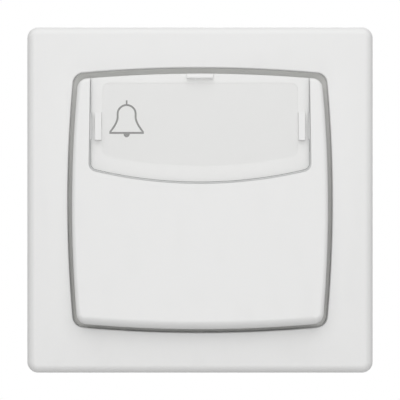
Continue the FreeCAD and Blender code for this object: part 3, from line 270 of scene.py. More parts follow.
def scaled(shade, factor):
    """A colour made lighter or darker."""
    return tuple(min(1.0, channel * factor) for channel in shade)


def moulded_plastic(name, shade, gloss, grain, unevenness=0.005):
    """Moulded plastic: faint flow marks in its colour, a fine skin and soft scuffs in its gloss."""
    recipe = new_recipe(name)
    cloud = recipe.noise(70.0, 3.0)
    speck = recipe.noise(2600.0, 2.0)
    flow = recipe.noise(45.0, 2.0, (1.0, 1.0, 0.25))
    mixed = cloud * 0.6 + flow * 0.4
    base = recipe.blend(mixed, scaled(shade, 1.0 - unevenness), scaled(shade, 1.0 + unevenness))
    scuff = recipe.ramp(recipe.noise(260.0, 5.0, (1.0, 1.0, 0.35)), 0.52, 0.7)
    roughness = scuff * 0.05 + (speck * 0.05 + (gloss - 0.025))
    skin = recipe.noise(grain, 3.0)
    ripple = recipe.noise(38.0, 1.0)
    wave = recipe.bump(ripple, 0.1, 0.02 * MM, recipe.rounded(0.09 * MM))
    normal = recipe.bump(skin, 0.15, 0.008 * MM, wave)
    return recipe.principled(base, roughness, Normal=normal, IOR=1.5)


def plated_steel(name, shade, rolled=EVEN):
    """Zinc-plated steel: a cloudy, slightly rolled metal with dull patches and fine scratches."""
    recipe = new_recipe(name)
    cloud = recipe.noise(160.0, 4.0)
    streak = recipe.noise(900.0, 3.0, rolled)
    base = recipe.blend(recipe.ramp(cloud, 0.3, 0.7), scaled(shade, 0.94), scaled(shade, 1.05))
    dull = recipe.ramp(recipe.noise(90.0, 3.0), 0.45, 0.75)
    roughness = dull * 0.1 + (streak * 0.12 + 0.27)
    normal = recipe.bump(streak, 0.25, 0.01 * MM, recipe.rounded(0.1 * MM))
    return recipe.principled(base, roughness, Metallic=1.0, Normal=normal)


def stamped_brass(name, shade):
    """Stamped brass: warm metal, a little tarnished in clouds."""
    recipe = new_recipe(name)
    tarnish = recipe.ramp(recipe.noise(240.0, 4.0), 0.45, 0.8)
    base = recipe.blend(tarnish, shade, (shade[0] * 0.72, shade[1] * 0.62, shade[2] * 0.6))
    grain = recipe.noise(1500.0, 3.0, (1.0, 1.0, 0.15))
    roughness = tarnish * 0.15 + (grain * 0.1 + 0.22)
    normal = recipe.bump(grain, 0.2, 0.01 * MM, recipe.rounded(0.08 * MM))
    return recipe.principled(base, roughness, Metallic=1.0, Normal=normal)


def label_paper(name, shade):
    """Coated label stock: fibres in its colour and a barely rough face."""
    recipe = new_recipe(name)
    fibre = recipe.noise(1800.0, 5.0, (0.35, 1.0, 1.0))
    cloud = recipe.noise(120.0, 2.0)
    mixed = fibre * 0.5 + cloud * 0.5
    base = recipe.blend(mixed, scaled(shade, 0.985), scaled(shade, 1.015))
    roughness = fibre * 0.1 + 0.55
    normal = recipe.bump(fibre, 0.2, 0.006 * MM)
    return recipe.principled(base, roughness, Normal=normal)


def printed_ink(name, shade):
    """Printed grey: slightly uneven cover."""
    recipe = new_recipe(name)
    cover = recipe.noise(2400.0, 4.0)
    base = recipe.blend(cover, scaled(shade, 0.92), scaled(shade, 1.08))
    return recipe.principled(base, cover * 0.08 + 0.4)


def clear_plastic(name, tint, sheen):
    """Clear plastic: what is behind it shows, with a faint cloudy gloss that grows at a slant."""
    recipe = new_recipe(name)
    mist = recipe.noise(300.0, 4.0)
    cloudy = {"Color": WHITE, "Roughness": mist * 0.05 + 0.06}
    gloss = recipe.add("ShaderNodeBsdfAnisotropic", None, cloudy)
    clear = recipe.add("ShaderNodeBsdfTransparent", None, {"Color": (*tint, 1.0)})
    slant = recipe.add("ShaderNodeLayerWeight", None, {"Blend": 0.5}, output="Facing")
    square = slant * slant
    mirrored = square * square * slant * sheen + STRAIGHT_ON_MIRRORED
    return recipe.surface(recipe.add("ShaderNodeMixShader", None, {0: mirrored, 1: clear, 2: gloss}))


def stage_surface(name, shade):
    """A plain pale surface that throws light back at the object, and shows as the white background."""
    recipe = new_recipe(name)
    cloud = recipe.noise(3.0, 2.0)
    base = recipe.blend(cloud, scaled(shade, 0.99), scaled(shade, 1.01))
    plain = recipe.add("ShaderNodeBsdfDiffuse", None, {"Color": base})
    clear = recipe.add("ShaderNodeBsdfTransparent", None, {"Color": WHITE})
    shown = {0: recipe.background_rays(), 1: plain, 2: clear}
    return recipe.surface(recipe.add("ShaderNodeMixShader", None, shown))


# Outlines across and up, each point with its outward direction

def pillow(half, corner, bow=None, drop=0.0):
    """A square with round corners and bowed or straight sides."""
    outline = []
    if bow is not None:
        shift = bow - half
        reach = bow - corner
        middle = (math.sqrt(2 * reach ** 2 - shift ** 2) - shift) / 2
        turn = math.atan2(middle, middle + shift)
    else:
        middle = half - corner
        turn = 0.0
    for quarter in range(4):
        facing = quarter * QUARTER
        ahead = Vector((math.cos(facing), math.sin(facing)))
        aside = Vector((-ahead.y, ahead.x))
        for step in range(SIDE_STEPS + 1):
            share = 2 * step / SIDE_STEPS - 1
            if bow is None:
                point = ahead * half + aside * (share * middle)
                outward = ahead
            else:
                outward = ahead * math.cos(share * turn) + aside * math.sin(share * turn)
                point = outward * bow - ahead * shift
            outline.append((point, outward))
        centre = (ahead + aside) * middle
        sweep = QUARTER - 2 * turn
        for step in range(1, CORNER_STEPS):
            angle = turn + sweep * step / CORNER_STEPS
            outward = ahead * math.cos(angle) + aside * math.sin(angle)
            outline.append((centre + outward * corner, outward))
    return [(point - Vector((0.0, drop)), outward) for point, outward in outline]


def ring(outline, inset, depth):
    """An outline drawn smaller by an inset, at a depth; each is one value or a value for each point."""
    points = []
    for index, (point, outward) in enumerate(outline):
        across = inset[index] if isinstance(inset, list) else inset
        along = depth[index] if isinstance(depth, list) else depth
        place = point - outward * across
        points.append(Vector((place.x, along, place.y)))
    return points


def label_shape(half, low, bow, corner, top, top_corner):
    """Upright sides, round corners and a lower edge bowed downwards, as points across and up."""
    across = half - corner
    bow_centre = low + bow
    foot = bow_centre - math.sqrt((bow - corner) ** 2 - across ** 2)
    turn = math.atan2(foot - bow_centre, across)
    points = []

    def arc(x, z, radius, first, last, steps):
        for step in range(steps + 1):
            angle = first + (last - first) * step / steps
            point = Vector((x + radius * math.cos(angle), z + radius * math.sin(angle)))
            if not points or (point - points[-1]).length > TOUCHING:
                points.append(point)

    arc(across, top - top_corner, top_corner, 0.0, QUARTER, CORNER_STEPS)
    arc(-across, top - top_corner, top_corner, QUARTER, math.pi, CORNER_STEPS)
    arc(-across, foot, corner, math.pi, math.pi - turn, CORNER_STEPS)
    arc(0.0, bow_centre, bow, math.pi - turn, 2 * math.pi + turn, 2 * SIDE_STEPS)
    arc(across, foot, corner, 2 * math.pi + turn, 2 * math.pi, CORNER_STEPS)
    return points


# Meshes

def add_rings(mesh, rings, closed=False, capped=False):
    """A surface through rings of equal count, closed on itself or capped at both ends."""
    rows = [[mesh.verts.new(point) for point in points] for points in rings]
    pairs = list(zip(rows, rows[1:]))
    if closed:
        pairs.append((rows[-1], rows[0]))
    for first, second in pairs:
        count = len(first)
        for index in range(count):
            after = (index + 1) % count
            mesh.faces.new((first[index], first[after], second[after], second[index]))
    if capped:
        mesh.faces.new(rows[0][::-1])
        mesh.faces.new(rows[-1])
    return rows


def add_box(mesh, x, y, z):
    """A block between the low and high end given for each axis."""
    corners = ((x[0], z[0]), (x[1], z[0]), (x[1], z[1]), (x[0], z[1]))
    add_rings(mesh, [[Vector((a, depth, b)) for a, b in corners] for depth in y], capped=True)


def add_prism(mesh, points, low, high):
    """An outline drawn out along the depth."""
    add_rings(mesh, [at_depth(points, depth) for depth in (low, high)], capped=True)


def at_depth(points, depth):
    """Points across and up, set at a depth."""
    return [Vector((point.x, depth, point.y)) for point in points]


def add_tube(mesh, place, rings):
    """Round rings of (radius, height) about a place's Z axis, capped."""
    angles = [2 * math.pi * step / ROD_STEPS for step in range(ROD_STEPS)]
    rows = []
    for radius, height in rings:
        circle = [(radius * math.cos(angle), radius * math.sin(angle)) for angle in angles]
        rows.append([place @ Vector((x, y, height)) for x, y in circle])
    add_rings(mesh, rows, capped=True)


def add_coil(mesh, place, radius, pitch, turns, section, steps, thinning=0.0):
    """A section of (outward, along) points swept round a place's Z axis, thinned towards its ends."""
    rings = []
    total = int(turns * steps)
    for step in range(total + 1):
        angle = 2 * math.pi * step / steps
        near_end = min(step, total - step) / steps
        size = 1.0 if thinning == 0.0 else min(1.0, 0.05 + near_end / thinning)
        outward = Vector((math.cos(angle), math.sin(angle), 0.0))
        height = pitch * step / steps
        row = []
        for out, along in section:
            lifted = Vector((0.0, 0.0, height + along * size))
            row.append(place @ (outward * (radius + out * size) + lifted))
        rings.append(row)
    add_rings(mesh, rings, capped=True)


def piece_from(mesh, name):
    """A scene object from a bmesh, with its faces turned outward."""
    bmesh.ops.recalc_face_normals(mesh, faces=mesh.faces)
    data = bpy.data.meshes.new(name)
    mesh.to_mesh(data)
    mesh.free()
    piece = bpy.data.objects.new(name, data)
    bpy.context.scene.collection.objects.link(piece)
    return piece


def prism_piece(name, points, low, high):
    """A scene object from an outline drawn out along the depth."""
    mesh = bmesh.new()
    add_prism(mesh, points, low, high)
    return piece_from(mesh, name)


def combine(piece, operation, tool):
    """Join, cut or keep what is shared with a tool, and use the tool up."""
    modifier = piece.modifiers.new(operation, "BOOLEAN")
    modifier.operation = operation
    modifier.solver = "EXACT"
    modifier.object = tool
    bpy.context.view_layer.update()
    solved = piece.evaluated_get(bpy.context.evaluated_depsgraph_get())
    result = bpy.data.meshes.new_from_object(solved)
    piece.modifiers.clear()
    piece.data = result
    bpy.data.objects.remove(tool)
    return piece


def finish_piece(piece, body, material, slot, *nodes):
    """Smooth shading with sharp edges kept, a material, and the body that the piece moves with."""
    data = piece.data
    data.materials.clear()
    data.materials.append(material)
    for face in data.polygons:
        face.material_index = 0
    data.shade_smooth()
    data.set_sharp_from_angle(angle=SHARP_ANGLE)
    weighted = piece.modifiers.new("Even shading", "WEIGHTED_NORMAL")
    weighted.keep_sharp = True
    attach(piece, body)
    if nodes:
        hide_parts(*nodes)
    return piece


def rounding(radius, depth):
    """Insets and depths of a rounded edge, from the side wall to the face."""
    steps = []
    for step in range(ROUND_STEPS + 1):
        angle = QUARTER * step / ROUND_STEPS
        steps.append((radius * (1 - math.cos(angle)), depth + radius * (1 - math.sin(angle))))
    return steps


# The cover frame

RIB_PLACES = (11.0 * MM, -12.0 * MM)
RIB_WIDE = 1.0 * MM
RIB_DEEP = 0.9 * MM
LEG_FACE = 36.3 * MM
LEG_WALL = 1.4 * MM
LEG_SIDES = (14.5 * MM, 21.5 * MM)
LEG_PAST_PLATE = 2.7 * MM
HOOK_TIP = 0.2 * MM
HOOK_REACH = 0.9 * MM
HOOK_SLANT = 0.7 * MM
HOOK_DEEP = 1.2 * MM


def cover_frame_mesh(sizes):
    """The frame as rings: rim, outer wall, front face, opening and collar, and the hollow behind."""
    front = -sizes.frame_depth
    painted_groove_shade = pillow(sizes.frame_half, sizes.frame_corner)
    inner = pillow(sizes.opening_half, sizes.opening_corner, sizes.opening_bow)
    rings = [ring(painted_groove_shade, 0.0, 0.0)]
    rings += [ring(painted_groove_shade, inset, depth) for inset, depth in rounding(sizes.frame_edge, front)]
    edge = sizes.opening_edge
    slope = sizes.slope_wide
    for step in range(SLOPE_STEPS):
        share = step / SLOPE_STEPS
        rings.append(ring(inner, -edge - slope * (1 - share), front + sizes.slope_deep * share ** 2))
    for inset, depth in rounding(edge, front + sizes.slope_deep)[::-1]:
        rings.append(ring(inner, -inset, depth))
    under = front + sizes.frame_front
    rings.append(ring(inner, 0.0, -sizes.plate_front))
    rings.append(ring(inner, -sizes.collar_wall, -sizes.plate_front))
    rings.append(ring(inner, -sizes.collar_wall, under))
    rings.append(ring(painted_groove_shade, sizes.frame_wall, under))
    rings.append(ring(painted_groove_shade, sizes.frame_wall, 0.0))
    mesh = bmesh.new()
    add_rings(mesh, rings, closed=True)
    return mesh


def add_frame_ribs(mesh, sizes):
    """Two ribs between the collar and the side wall."""
    under = -sizes.frame_depth + sizes.frame_front
    joined = under - sizes.frame_front / 2
    x = (sizes.opening_half + sizes.collar_wall / 2, sizes.frame_half - sizes.frame_wall / 2)
    for low in RIB_PLACES:
        add_box(mesh, x, (joined, under + RIB_DEEP), (low, low + RIB_WIDE))


def add_snap_leg(mesh, sizes):
    """A leg with a hook that snaps behind the bearing frame."""
    joined = -sizes.frame_depth + sizes.frame_front - sizes.frame_front / 2
    outside = LEG_FACE + LEG_WALL
    end = -sizes.plate_front + LEG_PAST_PLATE
    tip = LEG_FACE - HOOK_REACH
    profile = [
        (LEG_FACE, joined), (outside, joined), (outside, end), (LEG_FACE - HOOK_TIP, end),
        (tip, end - HOOK_SLANT), (tip, end - HOOK_DEEP), (LEG_FACE, end - HOOK_DEEP),
    ]
    add_rings(mesh, [[Vector((x, y, z)) for x, y in profile] for z in LEG_SIDES], capped=True)


def four_sided_mesh(add_forms, sizes):
    """The same forms on all four sides of the frame."""
    mesh = bmesh.new()
    for quarter in range(4):
        part = bmesh.new()
        add_forms(part, sizes)
        turn = Matrix.Rotation(quarter * QUARTER, 4, "Y")
        bmesh.ops.transform(part, matrix=turn, verts=part.verts)
        data = bpy.data.meshes.new("part")
        part.to_mesh(data)
        part.free()
        mesh.from_mesh(data)
        bpy.data.meshes.remove(data)
    return mesh


class BuildCoverFrame(bpy.types.Operator):
    """Builds the white cover frame with its collar, ribs and snap legs"""

    bl_idname = "doorbell.cover_frame"
    bl_label = "Cover frame"

    def execute(self, context):
        sizes = context.scene.doorbell_sizes
        piece = piece_from(cover_frame_mesh(sizes), "cover_frame_moulding")
        combine(piece, "UNION", piece_from(four_sided_mesh(add_frame_ribs, sizes), "frame_ribs"))
        combine(piece, "UNION", piece_from(four_sided_mesh(add_snap_leg, sizes), "frame_legs"))
        white = moulded_plastic("frame white", context.scene.doorbell_colours.white, 0.42, 5200.0)
        finish_piece(piece, "wall_unit", white, "white_plastic", "cover_frame")
        return {"FINISHED"}


# The rocker with its label window

ROCKER_CORNER = 2.5 * MM
ROCKER_FRONT_WALL = 2.0 * MM
ROCKER_SIDE_WALL = 1.6 * MM
ROOTED = 0.5 * MM
ROCKER_RIB_SIDES = (9.5 * MM, 10.5 * MM)
ROCKER_RIB_ENDS = (-28.5 * MM, 9.6 * MM)
CATCH_SIDES = (5.6 * MM, 10.6 * MM)

# A catch's profile in mm, up from the rocker's axis and behind the level where its hook begins
CATCH_LEVEL = -2.0
CATCH_INNER = 14.05
CATCH_OUTER = 15.35
CATCH_HOOK = ((CATCH_OUTER, 0.3), (15.0, 0.7), (14.3, 0.7), (13.35, 0.0), (CATCH_INNER, 0.0))

# The recess, the label window and the label card; depths are from the rocker's front face
RECESS_DEEP = 1.2 * MM
SEAT_DEEP = 0.4 * MM
SEAT_WALL = 1.0 * MM
WINDOW_LOW = 3.85 * MM
WINDOW_BOW = 106 * MM
WINDOW_CORNER = 1.6 * MM
WINDOW_THICK = 1.16 * MM
WINDOW_CHAMFER = 0.1 * MM
CARD_HALF = 23 * MM
CARD_LOW = 7.8 * MM
CARD_TOP = 27.3 * MM
CARD_BOW = 104 * MM
CARD_CORNER = 1.6 * MM
CARD_PLAY = 0.1 * MM
CARD_BACK = 1.55 * MM
CARD_THICK = 0.31 * MM

# The lugs and the clip that hold the window, and the notches beside the lugs
LUG_SIDES = (23.25 * MM, 24.75 * MM)
LUG_ENDS = (13.8 * MM, 20.4 * MM)
CLIP_HALF = 3.1 * MM
CLIP_HIGH = 1.15 * MM
HOLDER_PLAY = 0.03 * MM
NOTCH_SIDES = (25.5 * MM, 26.78 * MM)
NOTCH_ENDS = (13.95 * MM, 20.25 * MM)

# The window's faces that turn from the front: the outer ones get a grey tint, painted shade that draws
# the dark line of the groove
RIM_FACING = 0.9
RIM_TOP = 28 * MM
OUTER_SIDE = 25.2 * MM
OUTER_LOW = 13 * MM


def mirrored(side, span):
    """A span from the middle outwards, on the right side (1) or the left one (-1)."""
    return sorted(side * end for end in span)


def widened(span, play):
    """A span made longer at both ends."""
    return (span[0] - play, span[1] + play)


def rocker_outline(sizes, inset=0.0):
    """The rocker's outline seen from the front, smaller by an inset."""
    smaller = sizes.rocker_gap + inset
    half = sizes.opening_half - smaller
    return pillow(half, ROCKER_CORNER - inset, sizes.opening_bow - smaller, sizes.rocker_drop)


def edge_radii(sizes, outline):
    """The rounding at each point: larger along the edge that is pressed."""
    radii = []
    for _, outward in outline:
        share = math.asin(max(0.0, min(1.0, -outward.y))) / QUARTER
        radii.append(sizes.rocker_edge + (sizes.rocker_lip - sizes.rocker_edge) * share)
    return radii


def rocker_front_rings(sizes):
    """Rings from the skirt's rear over the rounded edge to the front face."""
    outline = rocker_outline(sizes)
    radii = edge_radii(sizes, outline)
    front = -sizes.rocker_front
    rings = [ring(outline, 0.0, front + sizes.rocker_skirt)]
    for step in range(ROUND_STEPS + 1):
        angle = QUARTER * step / ROUND_STEPS
        insets = [radius * (1 - math.cos(angle)) for radius in radii]
        depths = [front + radius * (1 - math.sin(angle)) for radius in radii]
        rings.append(ring(outline, insets, depths))
    return rings


def window_shape(sizes, grow):
    """The window's outline, larger by a margin; its upper end lies beyond the rocker."""
    half, low, bow = sizes.window_half + grow, WINDOW_LOW - grow, WINDOW_BOW + grow
    return label_shape(half, low, bow, WINDOW_CORNER + grow, sizes.frame_half, WINDOW_CORNER)


def card_shape(grow):
    """The card's outline, larger by a margin."""
    half, low, bow = CARD_HALF + grow, CARD_LOW - grow, CARD_BOW + grow
    return label_shape(half, low, bow, CARD_CORNER + grow, CARD_TOP + grow, CARD_CORNER + grow)


def holders_mesh(sizes, play):
    """The two side lugs and the top clip, larger by a clearance."""
    floor = -sizes.rocker_front + RECESS_DEEP
    deep = (-sizes.rocker_front - 2 * MM, floor + ROOTED)
    mesh = bmesh.new()
    for side in (-1, 1):
        add_box(mesh, mirrored(side, widened(LUG_SIDES, play)), deep, widened(LUG_ENDS, play))
    top = sizes.opening_half - sizes.rocker_gap - sizes.rocker_drop
    clip_ends = (top - CLIP_HIGH - play, sizes.frame_half + MM)
    add_box(mesh, widened((-CLIP_HALF, CLIP_HALF), play), deep, clip_ends)
    return mesh


def catches_mesh(joined):
    """Four catches behind the rocker that hold the yoke's edges."""
    profile = [(CATCH_INNER, joined / MM), (CATCH_OUTER, joined / MM)]
    profile += [(up, CATCH_LEVEL + behind) for up, behind in CATCH_HOOK]
    mesh = bmesh.new()
    for side in (-1, 1):
        for end in (-1, 1):
            rows = []
            for place in mirrored(side, CATCH_SIDES):
                rows.append([Vector((place, y * MM, end * z * MM)) for z, y in profile])
            add_rings(mesh, rows, capped=True)
    return mesh


class BuildRocker(bpy.types.Operator):
    """Builds the white rocker with the recess, lugs and clip that hold the label window"""

    bl_idname = "doorbell.rocker"
    bl_label = "Rocker"

    def execute(self, context):
        sizes = context.scene.doorbell_sizes
        front = -sizes.rocker_front
        floor = front + RECESS_DEEP
        seat = floor + SEAT_DEEP
        inner_face = front + ROCKER_FRONT_WALL
        hollow = rocker_outline(sizes, ROCKER_SIDE_WALL)
        mesh = bmesh.new()
        back = front + sizes.rocker_skirt
        rings = [ring(hollow, 0.0, inner_face), ring(hollow, 0.0, back)] + rocker_front_rings(sizes)
        add_rings(mesh, rings, capped=True)
        piece = piece_from(mesh, "rocker_moulding")
        joined = inner_face - ROOTED
        floor_back = seat + SEAT_WALL
        combine(piece, "UNION", prism_piece("window_floor", card_shape(SEAT_WALL), joined, floor_back))
        ribs = bmesh.new()
        for side in (-1, 1):
            add_box(ribs, mirrored(side, ROCKER_RIB_SIDES), (joined, floor_back), ROCKER_RIB_ENDS)
        combine(piece, "UNION", piece_from(ribs, "rocker_ribs"))
        combine(piece, "UNION", piece_from(catches_mesh(joined), "rocker_catches"))
        rooms = prism_piece("window_room", window_shape(sizes, sizes.window_gap), front - MM, floor)
        combine(rooms, "UNION", prism_piece("card_room", card_shape(CARD_PLAY), front - MM, seat))
        combine(rooms, "DIFFERENCE", piece_from(holders_mesh(sizes, 0.0), "holders"))
        combine(piece, "DIFFERENCE", rooms)
        piece.data.transform(ROCKER_PLACE)
        white = moulded_plastic("rocker white", context.scene.doorbell_colours.white, 0.4, 6000.0)
        finish_piece(piece, "rocker_unit", white, "white_plastic", "rocker")
        return {"FINISHED"}


class BuildLabelWindow(bpy.types.Operator):
    """Builds the clear window that snaps over the label"""

    bl_idname = "doorbell.label_window"
    bl_label = "Label window"

    def execute(self, context):
        sizes = context.scene.doorbell_sizes
        front = -sizes.rocker_front
        rim = WINDOW_CHAMFER
        mesh = bmesh.new()
        add_rings(mesh, rocker_front_rings(sizes), capped=True)
        piece = piece_from(mesh, "label_window_clear")
        levels = ((-rim, front - MM), (-rim, front), (0.0, front + rim), (0.0, front + WINDOW_THICK))
        outline = bmesh.new()
        rings = [at_depth(window_shape(sizes, grow), depth) for grow, depth in levels]
        add_rings(outline, rings, capped=True)
        combine(piece, "INTERSECT", piece_from(outline, "outline"))
        cuts = holders_mesh(sizes, HOLDER_PLAY)
        for side in (-1, 1):
            add_box(cuts, mirrored(side, NOTCH_SIDES), (front - 2 * MM, front + 2 * MM), NOTCH_ENDS)
        combine(piece, "DIFFERENCE", piece_from(cuts, "cuts"))
        piece.data.transform(ROCKER_PLACE)
        clear = clear_plastic("clear plastic", (0.998, 0.998, 0.997), 0.98)
        finish_piece(piece, "rocker_unit", clear, "clear_plastic", "label_window")
        # The outer side faces take a grey tint (0.42): painted shade for the dark line of the groove
        # round the window
        piece.data.materials.append(clear_plastic("clear plastic rim", (0.42, 0.43, 0.43), 0.98))
        piece.data.materials.append(clear_plastic("clear plastic seat", (0.99, 0.99, 0.99), 0.05))
        for face in piece.data.polygons:
            centre = ROCKER_PLACE.inverted() @ face.center
            if abs(face.normal.y) < RIM_FACING and centre.z < RIM_TOP:
                painted_groove_shade = abs(centre.x) > OUTER_SIDE or centre.z < OUTER_LOW
                face.material_index = 1 if painted_groove_shade else 2
        return {"FINISHED"}


# The label card with its printed bell, whose points are in mm across and up

BELL_AXIS = -17.33
BELL_SIDE = (
    (0.0, 22.19), (0.66, 22.08), (1.27, 21.76), (1.75, 21.27), (2.04, 20.68), (2.12, 20.05),
    (2.12, 19.3), (2.19, 18.78), (2.36, 18.27), (2.58, 17.76), (2.86, 17.25), (3.2, 16.74),
    (3.55, 16.24), (3.92, 15.72),
)
BELL_RIM_HALF = 4.07
BELL_RIM_LEVEL = 15.58
BELL_STEM = (22.3, 22.9, 23.3)
STEM_THINNER = 0.85
CLAPPER_HALF = 0.74
CLAPPER_DEEP = 0.86
CLAPPER_LEVEL = 15.4
CLAPPER_STEPS = 24
OVERLAP_LIFT = 0.003 * MM
INK_PROUD = 0.015 * MM
INK_SUNK = 0.01 * MM


def add_stroke(mesh, points, width, low, high):
    """A line of even width with square ends."""
    left, right = [], []
    for index, point in enumerate(points):
        before = points[max(index - 1, 0)]
        after = points[min(index + 1, len(points) - 1)]
        along = (after - before).normalized()
        aside = Vector((-along.y, along.x)) * (width / 2)
        left.append(point + aside)
        right.append(point - aside)
    rings = []
    for first, second in zip(left, right):
        corners = ((first, low), (second, low), (second, high), (first, high))
        rings.append([Vector((corner.x, depth, corner.y)) for corner, depth in corners])
    add_rings(mesh, rings, capped=True)


def smooth_line(knots, steps=8):
    """A curve through its knots."""
    points = []
    for index in range(len(knots) - 1):
        before = knots[max(index - 1, 0)]
        first, second = knots[index], knots[index + 1]
        after = knots[min(index + 2, len(knots) - 1)]
        slope = second - before
        bend = 2 * before - 5 * first + 4 * second - after
        twist = 3 * first - before - 3 * second + after
        for step in range(steps):
            t = step / steps
            points.append(0.5 * (2 * first + slope * t + bend * t ** 2 + twist * t ** 3))
    points.append(knots[-1])
    return points


def bell_mesh(width, low, high):
    """A plain bell outline: dome and skirt, a hair before them rim and stem, and the clapper."""
    raised = low - OVERLAP_LIFT
    mesh = bmesh.new()

    def at(x, z):
        """A point across from the bell's axis and up."""
        return Vector(((BELL_AXIS + x) * MM, z * MM))

    knots = [at(-x, z) for x, z in BELL_SIDE[:0:-1]] + [at(x, z) for x, z in BELL_SIDE]
    add_stroke(mesh, smooth_line(knots), width, low, high)
    rim = [at(x, BELL_RIM_LEVEL) for x in (-BELL_RIM_HALF, 0.0, BELL_RIM_HALF)]
    add_stroke(mesh, rim, width, raised, high)
    add_stroke(mesh, [at(0.0, z) for z in BELL_STEM], width * STEM_THINNER, raised, high)
    clapper = []
    for step in range(CLAPPER_STEPS + 1):
        angle = math.pi + math.pi * step / CLAPPER_STEPS
        level = CLAPPER_LEVEL + CLAPPER_DEEP * math.sin(angle)
        clapper.append(at(CLAPPER_HALF * math.cos(angle), level))
    add_prism(mesh, clapper, low, high)
    return mesh


class BuildLabelCard(bpy.types.Operator):
    """Builds the label with its printed bell outline"""

    bl_idname = "doorbell.label_card"
    bl_label = "Label and bell symbol"

    def execute(self, context):
        sizes = context.scene.doorbell_sizes
        colours = context.scene.doorbell_colours
        back = -sizes.rocker_front + CARD_BACK
        face = back - CARD_THICK
        card = prism_piece("label_card_paper", card_shape(CARD_PLAY), face, back)
        card.data.transform(ROCKER_PLACE)
        paper = label_paper("label paper", colours.paper)
        finish_piece(card, "rocker_unit", paper, "label_paper", "label_card")
        mesh = bell_mesh(sizes.symbol_line, face - INK_PROUD, face + INK_SUNK)
        symbol = piece_from(mesh, "bell_symbol")
        symbol.data.transform(ROCKER_PLACE)
        finish_piece(symbol, "rocker_unit", printed_ink("symbol ink", colours.symbol), "label_paper")
        return {"FINISHED"}


# Spring and screws

WIRE_RADIUS = 0.25 * MM
SPRING_RADIUS = 3.1 * MM
SPRING_LEVEL = -9.0 * MM
SPRING_TURNS = 4.5
WIRE_SIDES = 10
SPRING_STEEL = (0.5, 0.5, 0.51)

Screw = namedtuple("Screw", "head rise shank long pitch")
COVER_SCREW = Screw(2.0 * MM, 1.2 * MM, 1.1 * MM, 9.0 * MM, 0.5 * MM)
CLAW_SCREW = Screw(2.4 * MM, 1.6 * MM, 1.45 * MM, 18.5 * MM, 0.6 * MM)
TERMINAL_SCREW = Screw(2.4 * MM, 2.0 * MM, 1.5 * MM, 6.0 * MM, 0.6 * MM)

# Where the heads lie, across, deep and up; each screw is repeated on the other side
COVER_SCREW_PLACE = (13.2 * MM, -2.6 * MM, 13.7 * MM)
CLAW_SCREW_PLACE = (23 * MM, -1.0 * MM, 0.0)
TERMINAL_SCREW_PLACE = (8 * MM, 12.35 * MM, 13.7 * MM)

# A head's dome, thread and cross recess, as shares of the head, its rise and the pitch
DOME = ((0.66, 1.0), (0.84, 0.86), (0.96, 0.62), (1.0, 0.35), (1.0, 0.0))
THREAD_DEEP = 0.54
TOOTH = ((-0.1, -0.42), (THREAD_DEEP, -0.06), (THREAD_DEEP, 0.06), (-0.1, 0.42))
RECESS_REACH = 0.62
RECESS_HALF = 0.13
RECESS_TURN = 0.5
RECESS_FOOT = 0.3
RECESS_TAPER = 0.55


class BuildReturnSpring(bpy.types.Operator):
    """Builds the return spring as an evenly wound coil of wire"""

    bl_idname = "doorbell.return_spring"
    bl_label = "Return spring"

    def execute(self, context):
        low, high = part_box("return_spring")
        start = low.y + WIRE_RADIUS
        rise = high.y - low.y - 2 * WIRE_RADIUS
        place = Matrix.Translation((0.0, start, SPRING_LEVEL)) @ Matrix.Rotation(-QUARTER, 4, "X")
        angles = [2 * math.pi * step / WIRE_SIDES for step in range(WIRE_SIDES)]
        section = [(WIRE_RADIUS * math.cos(angle), WIRE_RADIUS * math.sin(angle)) for angle in angles]
        mesh = bmesh.new()
        add_coil(mesh, place, SPRING_RADIUS, rise / SPRING_TURNS, SPRING_TURNS, section, SPRING_STEPS)
        piece = piece_from(mesh, "return_spring_wire")
        steel = plated_steel("spring steel", SPRING_STEEL)
        finish_piece(piece, "wall_unit", steel, "spring_steel", "return_spring")
        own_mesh(piece)
        return {"FINISHED"}


def add_screw(mesh, place, screw):
    """A machine screw along a place's Z axis: a pan head at the origin, a threaded shank behind."""
    pitch = screw.pitch
    core = screw.shank - THREAD_DEEP * pitch
    outline = [(screw.head * across, -screw.rise * high) for across, high in DOME]
    outline += [(core, 0.0), (core, screw.long - 0.5 * pitch), (core * 0.6, screw.long)]
    add_tube(mesh, place, outline)
    tooth = [(out * pitch, along * pitch) for out, along in TOOTH]
    turns = (screw.long - 1.6 * pitch) / pitch
    start = place @ Matrix.Translation((0.0, 0.0, 0.5 * pitch))
    add_coil(mesh, start, core, pitch, turns, tooth, THREAD_STEPS, thinning=0.4)


def screw_piece(name, places, screw):
    """The same screw at several places, each with a cross recess in its head."""
    mesh = bmesh.new()
    recess = bmesh.new()
    reach = screw.head * RECESS_REACH
    half = screw.head * RECESS_HALF
    corners = [(-reach, -half), (reach, -half), (reach, half), (-reach, half)]
    levels = ((-screw.rise - 0.1 * MM, 1.0), (-screw.rise * RECESS_FOOT, RECESS_TAPER))
    for place in places:
        add_screw(mesh, place, screw)
        for turn in (0.0, QUARTER):
            turned = place @ Matrix.Rotation(turn + RECESS_TURN, 4, "Z")
            rows = []
            for height, size in levels:
                rows.append([turned @ Vector((x * size, y, height)) for x, y in corners])
            add_rings(recess, rows, capped=True)
    piece = piece_from(mesh, name)
    return combine(piece, "DIFFERENCE", piece_from(recess, f"{name}_recess"))


